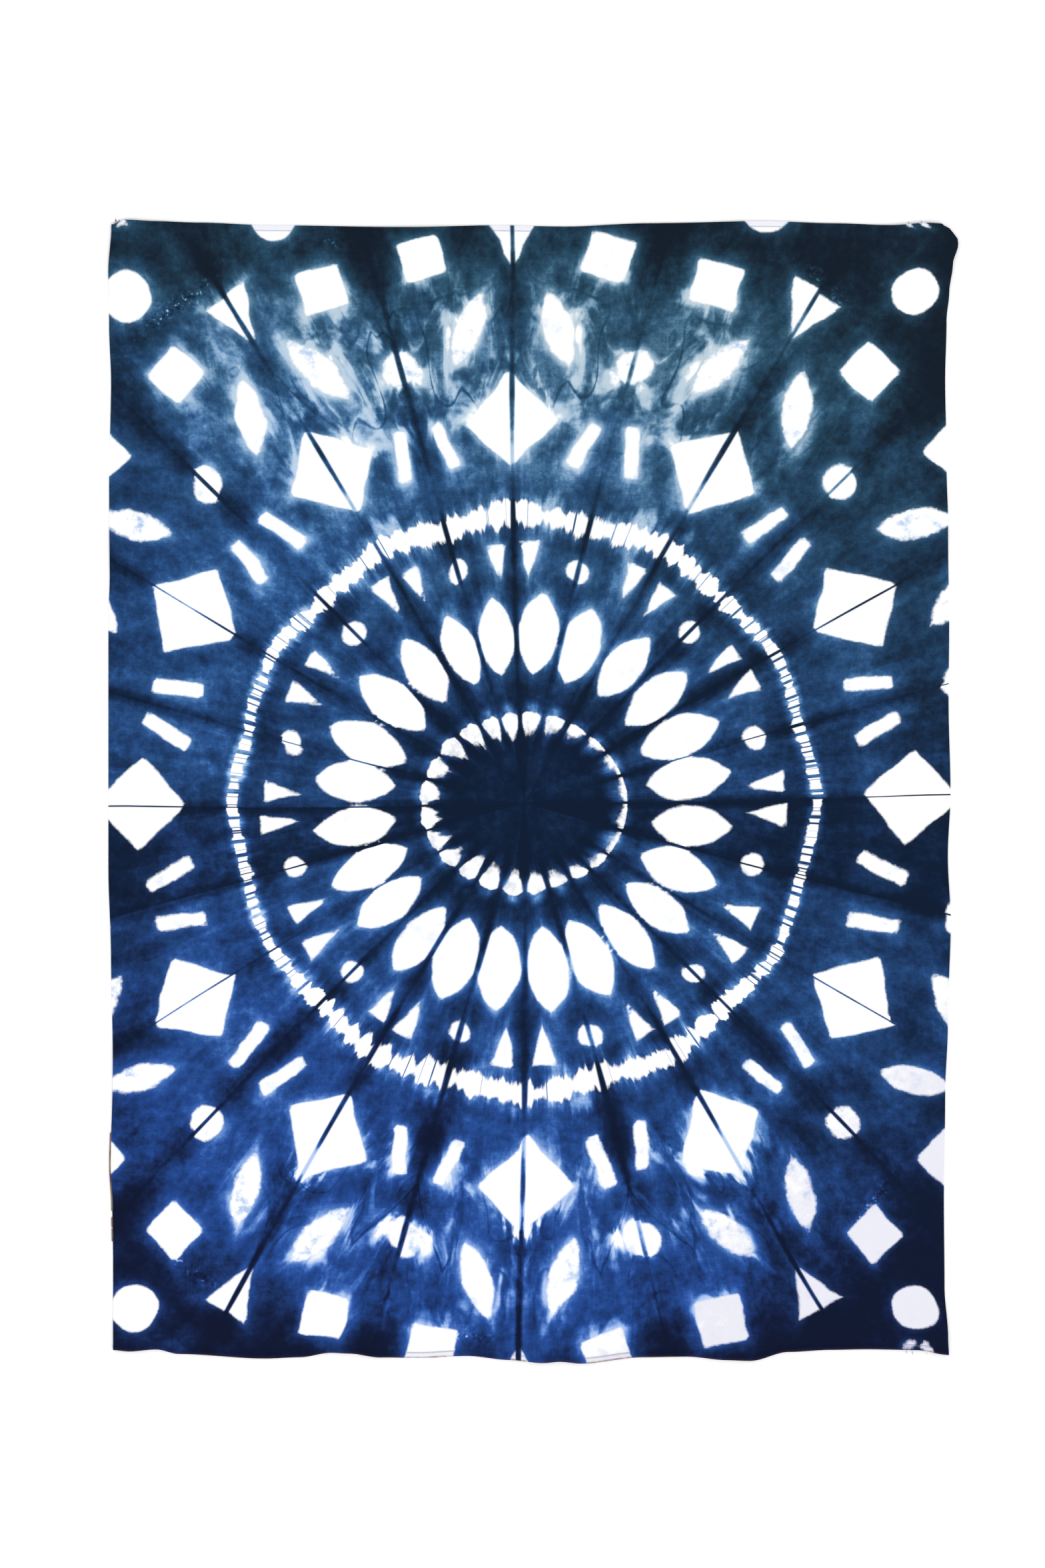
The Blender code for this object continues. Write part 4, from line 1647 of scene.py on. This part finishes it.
@dataclass
class ClothPanel:
    """The cloth itself: one thin sheet in the shape in which it lies. Sizes in metres."""

    form: PanelForm
    crumple: Crumple
    cell: float = 0.00615
    selvedge_lines: tuple = (0.0, 0.0012, 0.0030)
    hem_lines: tuple = (0.0, 0.0030, 0.0060, 0.0072, 0.0084)
    sharp_deg: float = 40.0

    def stations(self, size: float, near_edge: tuple) -> Array:
        """Place the grid's lines: close together at the edges and even between them.

        Args:
            size: The panel's size that way.
            near_edge: Distances from the edge of the first lines.

        Returns:
            The lines' places, from one edge to the other.
        """
        close = size / 2 - np.array(near_edge)
        even = np.linspace(-close[-1], close[-1], round(2 * close[-1] / self.cell) + 1)
        return np.concatenate([-close[:-1], even, close[-2::-1]])

    def lie(self, x: Array, y: Array, above: Array) -> Array:
        """Find where points of the flat panel lie.

        Args:
            x: Places across the flat panel.
            y: Places along the flat panel.
            above: Heights above the cloth's underside.

        Returns:
            One row of three coordinates for each point.
        """
        across, along = self.form.wandered(x, y)
        middle = self.form.middle()
        height = self.form.lift(x, y) + self.crumple.height(x, y) + above
        return np.stack([across - middle[0], along - middle[1], height], axis=1)

    def shell(self, columns: int, rows: int) -> list:
        """List the faces of the closed sheet: its face, its underside and the rim between them.

        Args:
            columns: How many points lie side by side across the cloth.
            rows: How many points lie one after the other along it.

        Returns:
            The point numbers round each face.
        """
        count = columns * rows
        places = np.arange(count).reshape(rows, columns)
        face = np.stack([places[:-1, :-1], places[:-1, 1:], places[1:, 1:], places[1:, :-1]], axis=2)
        face = face.reshape(-1, 4)
        around = np.concatenate([places[0, :-1], places[:-1, -1], places[-1, :0:-1], places[:0:-1, 0]])
        after = np.roll(around, -1)
        rim = np.stack([around + count, after + count, after, around], axis=1)
        return np.concatenate([face, face[:, ::-1] + count, rim]).tolist()

    def build(self, cotton: Material) -> Object:
        """Make the sheet and dye it.

        Args:
            cotton: The cloth's material.

        Returns:
            The finished cloth.
        """
        across = self.stations(self.form.width, self.selvedge_lines)
        along = self.stations(self.form.length, self.hem_lines)
        x, y = (grid.ravel() for grid in np.meshgrid(across, along))
        top, under = self.lie(x, y, self.form.thick(y)), self.lie(x, y, np.zeros_like(x))
        panel = place_mesh("cotton_panel", np.concatenate([top, under]), self.shell(len(across), len(along)))
        x, y = np.tile(x, 2), np.tile(y, 2)
        edge_y = self.form.length / 2 - np.abs(y)
        hem = 1 - smooth((edge_y - self.hem_lines[2]) / (self.hem_lines[4] - self.hem_lines[2]))
        # Outermost points of the bottom edge, where a red-brown shadow is painted
        rim = ((edge_y < MM / 2) & (y < 0)).astype(float)
        dyed(panel, self.form, x, y, hem=hem, rim=rim)
        panel.data.materials.append(cotton)
        panel.data.shade_smooth()
        panel.data.set_sharp_from_angle(angle=math.radians(self.sharp_deg))
        return panel


@dataclass
class HemStitching:
    """The row of machine stitches that holds each turned hem. Sizes in metres."""

    panel: ClothPanel
    from_edge: float = 0.0050
    pitch: float = 0.0031
    length: float = 0.0025
    thread: float = 0.00055
    margin: float = 0.0040

    def one_stitch(self) -> Object:
        """Model one stitch: a short run of thread whose ends dip into the cloth.

        Returns:
            The stitch, at the origin.
        """
        bpy.ops.object.select_all(action="DESELECT")
        bpy.ops.mesh.primitive_cylinder_add(
            vertices=6, radius=self.thread / 2, depth=self.length, rotation=(0, math.pi / 2, 0))
        stitch = bpy.context.object
        bpy.ops.object.transform_apply(location=False, rotation=True, scale=False)
        bpy.ops.object.mode_set(mode="EDIT")
        for side in (-1, 1):
            bpy.ops.mesh.select_all(action="SELECT")
            bpy.ops.mesh.bisect(plane_co=(side * 0.3 * self.length, 0, 0), plane_no=(1, 0, 0))
        form = bmesh.from_edit_mesh(stitch.data)
        for point in form.verts:
            point.select_set(abs(point.co.x) > 0.45 * self.length)
        form.select_flush_mode()
        bmesh.update_edit_mesh(stitch.data)
        bpy.ops.transform.resize(value=(1, 0.6, 0.6))
        bpy.ops.transform.translate(value=(0, 0, -0.5 * self.thread))
        bpy.ops.object.mode_set(mode="OBJECT")
        return stitch

    def build(self, cotton: Material) -> list:
        """Run the stitches along both hems and lay them on the cloth.

        Args:
            cotton: The thread's material, which is dyed with the cloth.

        Returns:
            The rows of stitches.
        """
        form = self.panel.form
        run = form.width - 2 * self.margin
        rows = []
        for name, side in (("top", 1), ("bottom", -1)):
            row = self.one_stitch()
            row.name = row.data.name = f"hem_stitching_{name}"
            repeat = row.modifiers.new("stitches", "ARRAY")
            repeat.use_relative_offset = False
            repeat.use_constant_offset = True
            repeat.constant_offset_displace = (self.pitch, 0, 0)
            repeat.count = int(run / self.pitch)
            bpy.ops.object.modifier_apply(modifier=repeat.name)
            points = np.empty(3 * len(row.data.vertices))
            row.data.vertices.foreach_get("co", points)
            points = points.reshape(-1, 3)
            x = points[:, 0] - run / 2
            y = side * (form.length / 2 - self.from_edge) + points[:, 1]
            laid = self.panel.lie(x, y, form.thick(y) + points[:, 2] + 0.2 * self.thread)
            row.data.vertices.foreach_set("co", laid.ravel())
            row.data.update()
            dyed(row, form, x, y)
            row.data.materials.append(cotton)
            row.data.shade_smooth()
            rows.append(row)
        return rows


def sweep(points: Array, radius: float, sides: int) -> tuple:
    """Run a round thread along a path.

    Args:
        points: The path, one row of three coordinates for each point.
        radius: The thread's radius.
        sides: How many sides the thread has.

    Returns:
        The points and the faces of a closed tube, its faces pointing out.
    """
    ahead = np.gradient(points, axis=0)
    ahead /= np.linalg.norm(ahead, axis=1, keepdims=True)
    aside = np.cross(ahead, (0.0, 0.0, 1.0))
    aside /= np.linalg.norm(aside, axis=1, keepdims=True)
    raised = np.cross(aside, ahead)
    turns = np.arange(sides) * math.tau / sides
    rings = points[:, None] + radius * (
        aside[:, None] * np.cos(turns)[None, :, None] + raised[:, None] * np.sin(turns)[None, :, None])
    count = len(points)
    faces = [
        (row * sides + side, row * sides + (side + 1) % sides,
         (row + 1) * sides + (side + 1) % sides, (row + 1) * sides + side)
        for row in range(count - 1) for side in range(sides)
    ]
    faces.append(tuple(range(sides))[::-1])
    faces.append(tuple(range((count - 1) * sides, count * sides)))
    return rings.reshape(-1, 3), faces


def joined(tubes: list) -> tuple:
    """Put several tubes into one list of points and one of faces.

    Args:
        tubes: Points and faces of each tube.

    Returns:
        All the points and all the faces.
    """
    points, faces, start = [], [], 0
    for tube_points, tube_faces in tubes:
        points.append(tube_points)
        faces += [tuple(start + index for index in face) for face in tube_faces]
        start += len(tube_points)
    return np.concatenate(points), faces


@dataclass
class FrayedEnds:
    """The few loose ends of thread at the nicks in the cloth's corners. Sizes in metres."""

    panel: ClothPanel
    thread: float = 0.0006
    sides: int = 6
    steps: int = 9
    rest_height: float = 0.0002

    def path(self, end: LooseThread) -> Array:
        """Lead one end out over the cloth's edge and down to the surface beside it.

        Args:
            end: The loose end.

        Returns:
            The path, one row of three coordinates for each point.
        """
        share = np.linspace(0, 1, self.steps)
        angle = math.radians(end.angle)
        out = share * end.length * MM
        bend = end.bend * MM * np.sin(0.5 * math.pi * share) ** 2
        x = end.x * MM + out * math.cos(angle) - bend * math.sin(angle)
        y = end.y * MM + out * math.sin(angle) + bend * math.cos(angle)
        start = self.panel.lie(x[:1], y[:1], self.panel.form.thick(y[:1]))[0]
        flat_start = np.array([x[0], y[0]])
        path = np.zeros((self.steps, 3))
        path[:, :2] = start[:2] + np.stack([x, y], axis=1) - flat_start
        low = self.rest_height + self.thread / 2
        path[:, 2] = start[2] + (low - start[2]) * smooth(share * 1.2)
        return path

    def build(self, cotton: Material) -> Object:
        """Make all loose ends as one piece.

        Args:
            cotton: The thread's material, which is dyed with the cloth.

        Returns:
            The finished ends.
        """
        tubes = [sweep(self.path(end), self.thread / 2, self.sides) for end in LOOSE_THREADS]
        points, faces = joined(tubes)
        ends = place_mesh("frayed_ends", points, faces)
        middle = self.panel.form.middle()
        x, y = points[:, 0] + middle[0], points[:, 1] + middle[1]
        dyed(ends, self.panel.form, x, y)
        ends.data.materials.append(cotton)
        ends.data.shade_smooth()
        return ends


@dataclass
class SelvedgeYarn:
    """The length of twisted yarn that runs along the lower left selvedge. Sizes in metres."""

    panel: ClothPanel
    start: float = 1.237
    end: float = 1.384
    yarn: float = 0.0013
    twist: float = 0.0052
    plies: int = 2
    sides: int = 6
    steps_per_twist: int = 10
    gaps: tuple = ((0.106, 0.115), (0.128, 0.1305))

    def path(self, ply: int, start: float, end: float) -> Array:
        """Wind one ply round the line beside the selvedge.

        Args:
            ply: Which ply.
            start: Where the yarn starts, down from the top edge.
            end: Where it ends.

        Returns:
            The ply's path.
        """
        steps = max(4, round((end - start) / self.twist * self.steps_per_twist))
        down = np.linspace(start, end, steps)
        y = self.panel.form.length / 2 - down
        x = np.full_like(y, -self.panel.form.width / 2)
        line = self.panel.lie(x, y, np.zeros_like(x))
        turn = math.tau * (down / self.twist + ply / self.plies)
        offset = self.yarn / 2
        line[:, 0] += offset * np.cos(turn) - 0.45 * self.yarn
        line[:, 2] = self.yarn + offset * np.sin(turn)
        return line

    def build(self, finish: Material) -> Object:
        """Make the yarn, worn through where the gaps are.

        Args:
            finish: The yarn's material.

        Returns:
            The finished yarn.
        """
        stops = [self.start]
        for gap_start, gap_end in self.gaps:
            stops += [self.start + gap_start, self.start + gap_end]
        stops.append(self.end)
        tubes = [
            sweep(self.path(ply, start, end), self.yarn / 2, self.sides)
            for start, end in zip(stops[::2], stops[1::2]) for ply in range(self.plies)
        ]
        yarn = place_mesh("selvedge_yarn", *joined(tubes))
        yarn.data.materials.append(finish)
        yarn.data.shade_smooth()
        return yarn


@dataclass(frozen=True)
class WornYarn:
    """Two-ply cotton yarn, undyed and weathered.

    The eye sees a dull red-brown that fades to ochre, with darker furrows of fine fibre.
    """

    red_brown: str = "#7E5A52"
    ochre: str = "#8C8064"
    dark: str = "#5A3E3A"
    # Fibre lies in strands of about a tenth of a millimetre; they are drawn three times as wide
    fibre_pitch: float = 0.0003
    roughness: float = 0.9
    sheen: float = 0.1
    relief: float = 0.5

    def build(self) -> Material:
        """Make the material.

        Returns:
            The finished material.
        """
        graph = Graph("worn_twisted_cotton_yarn")
        add = graph.add
        spot = add("TexCoord").outputs["Object"]
        patch = add("TexNoise", Vector=spot, Scale=28.0, Detail=2.0)
        colour = add("ValToRGB", patch, stops=((0.36, self.dark), (0.48, self.red_brown), (0.62, self.ochre)))
        fibre = add("TexNoise", Vector=spot, Scale=1 / self.fibre_pitch, Detail=1.0)
        bump = add("Bump", Height=fibre, Distance=self.fibre_pitch, Strength=self.relief)
        shader = add(
            "BsdfPrincipled", Base_Color=colour, Roughness=self.roughness, Normal=bump,
            Sheen_Weight=self.sheen,
        )
        add("OutputMaterial", Surface=shader)
        return graph.material


@dataclass
class Studio:
    """A pale floor, soft light and a camera straight above the cloth. Sizes in metres."""

    floor_size: float = 16.0
    floor_drop: float = 0.0003
    floor_white: str = "#FDFDFD"
    camera_place: tuple = (-0.0145, 0.0104, 3.2)
    sensor: float = 36.0
    view_height: float = 2.1347
    sun_from: tuple = (38.0, 0.0, 35.0)
    sun_width_deg: float = 28.0
    sun_strength: float = 1.0
    sky_strength: float = 0.85

    def floor(self) -> Object:
        """Lay the floor just under the cloth.

        Returns:
            The floor.
        """
        bpy.ops.object.select_all(action="DESELECT")
        bpy.ops.mesh.primitive_plane_add(size=self.floor_size, location=(0, 0, -self.floor_drop))
        floor = bpy.context.object
        floor.name = "studio_floor"
        graph = Graph("matt_white_paper")
        add = graph.add
        spot = add("TexCoord").outputs["Object"]
        grain = add("TexNoise", Vector=spot, Scale=6.0, Detail=2.0)
        rough = add("MapRange", grain, 0.0, 1.0, 0.9, 1.0)
        white = linear(self.floor_white)
        shader = add("BsdfPrincipled", Base_Color=white, Roughness=rough, Specular_IOR_Level=0.1)
        add("OutputMaterial", Surface=shader)
        floor.data.materials.append(graph.material)
        floor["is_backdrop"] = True
        return floor

    def light(self) -> None:
        """Light the cloth with a bright even sky and one broad soft sun."""
        world = bpy.data.worlds.new("soft_sky")
        world.use_nodes = True
        sky = world.node_tree.nodes["Background"]
        sky.inputs["Color"].default_value = (1.0, 1.0, 1.0, 1.0)
        sky.inputs["Strength"].default_value = self.sky_strength
        bpy.context.scene.world = world
        bpy.ops.object.light_add(type="SUN", rotation=[math.radians(turn) for turn in self.sun_from])
        sun = bpy.context.object
        sun.data.energy = self.sun_strength
        sun.data.angle = math.radians(self.sun_width_deg)

    def camera(self) -> Object:
        """Look straight down, as the photograph does.

        Returns:
            The camera.
        """
        bpy.ops.object.camera_add(location=self.camera_place, rotation=(0, 0, 0))
        camera = bpy.context.object
        camera.data.sensor_fit = "VERTICAL"
        camera.data.sensor_height = self.sensor
        camera.data.lens = self.sensor * self.camera_place[2] / self.view_height
        bpy.context.scene.camera = camera
        return camera

    def build(self) -> None:
        """Set up the floor, the lights and the camera."""
        self.camera()
        self.floor()
        self.light()
        bpy.context.scene.view_settings.view_transform = "Standard"


def write_sizes() -> None:
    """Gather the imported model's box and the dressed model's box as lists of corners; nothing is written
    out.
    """
    boxes = {"cad": CAD_BOX, "visual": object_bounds()}
    sizes = {name: [list(corner) for corner in box] for name, box in boxes.items()}


def main() -> None:
    """Build the cloth, its stitching and its threads, and set up the studio round them."""
    logging.basicConfig(level=logging.INFO, format="%(message)s")
    Studio().build()
    form = PanelForm()
    panel = ClothPanel(form, Crumple(form))
    cotton = DyedCotton().build()
    cloth = panel.build(cotton)
    trims = HemStitching(panel).build(cotton)
    trims.append(FrayedEnds(panel).build(cotton))
    trims.append(SelvedgeYarn(panel).build(WornYarn().build()))
    for piece in (cloth, *trims):
        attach(piece, "root")
        log.info("%s: %d faces", piece.name, len(piece.data.polygons))
    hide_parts("cloth")
    write_sizes()


if __name__ == "__main__":
    main()
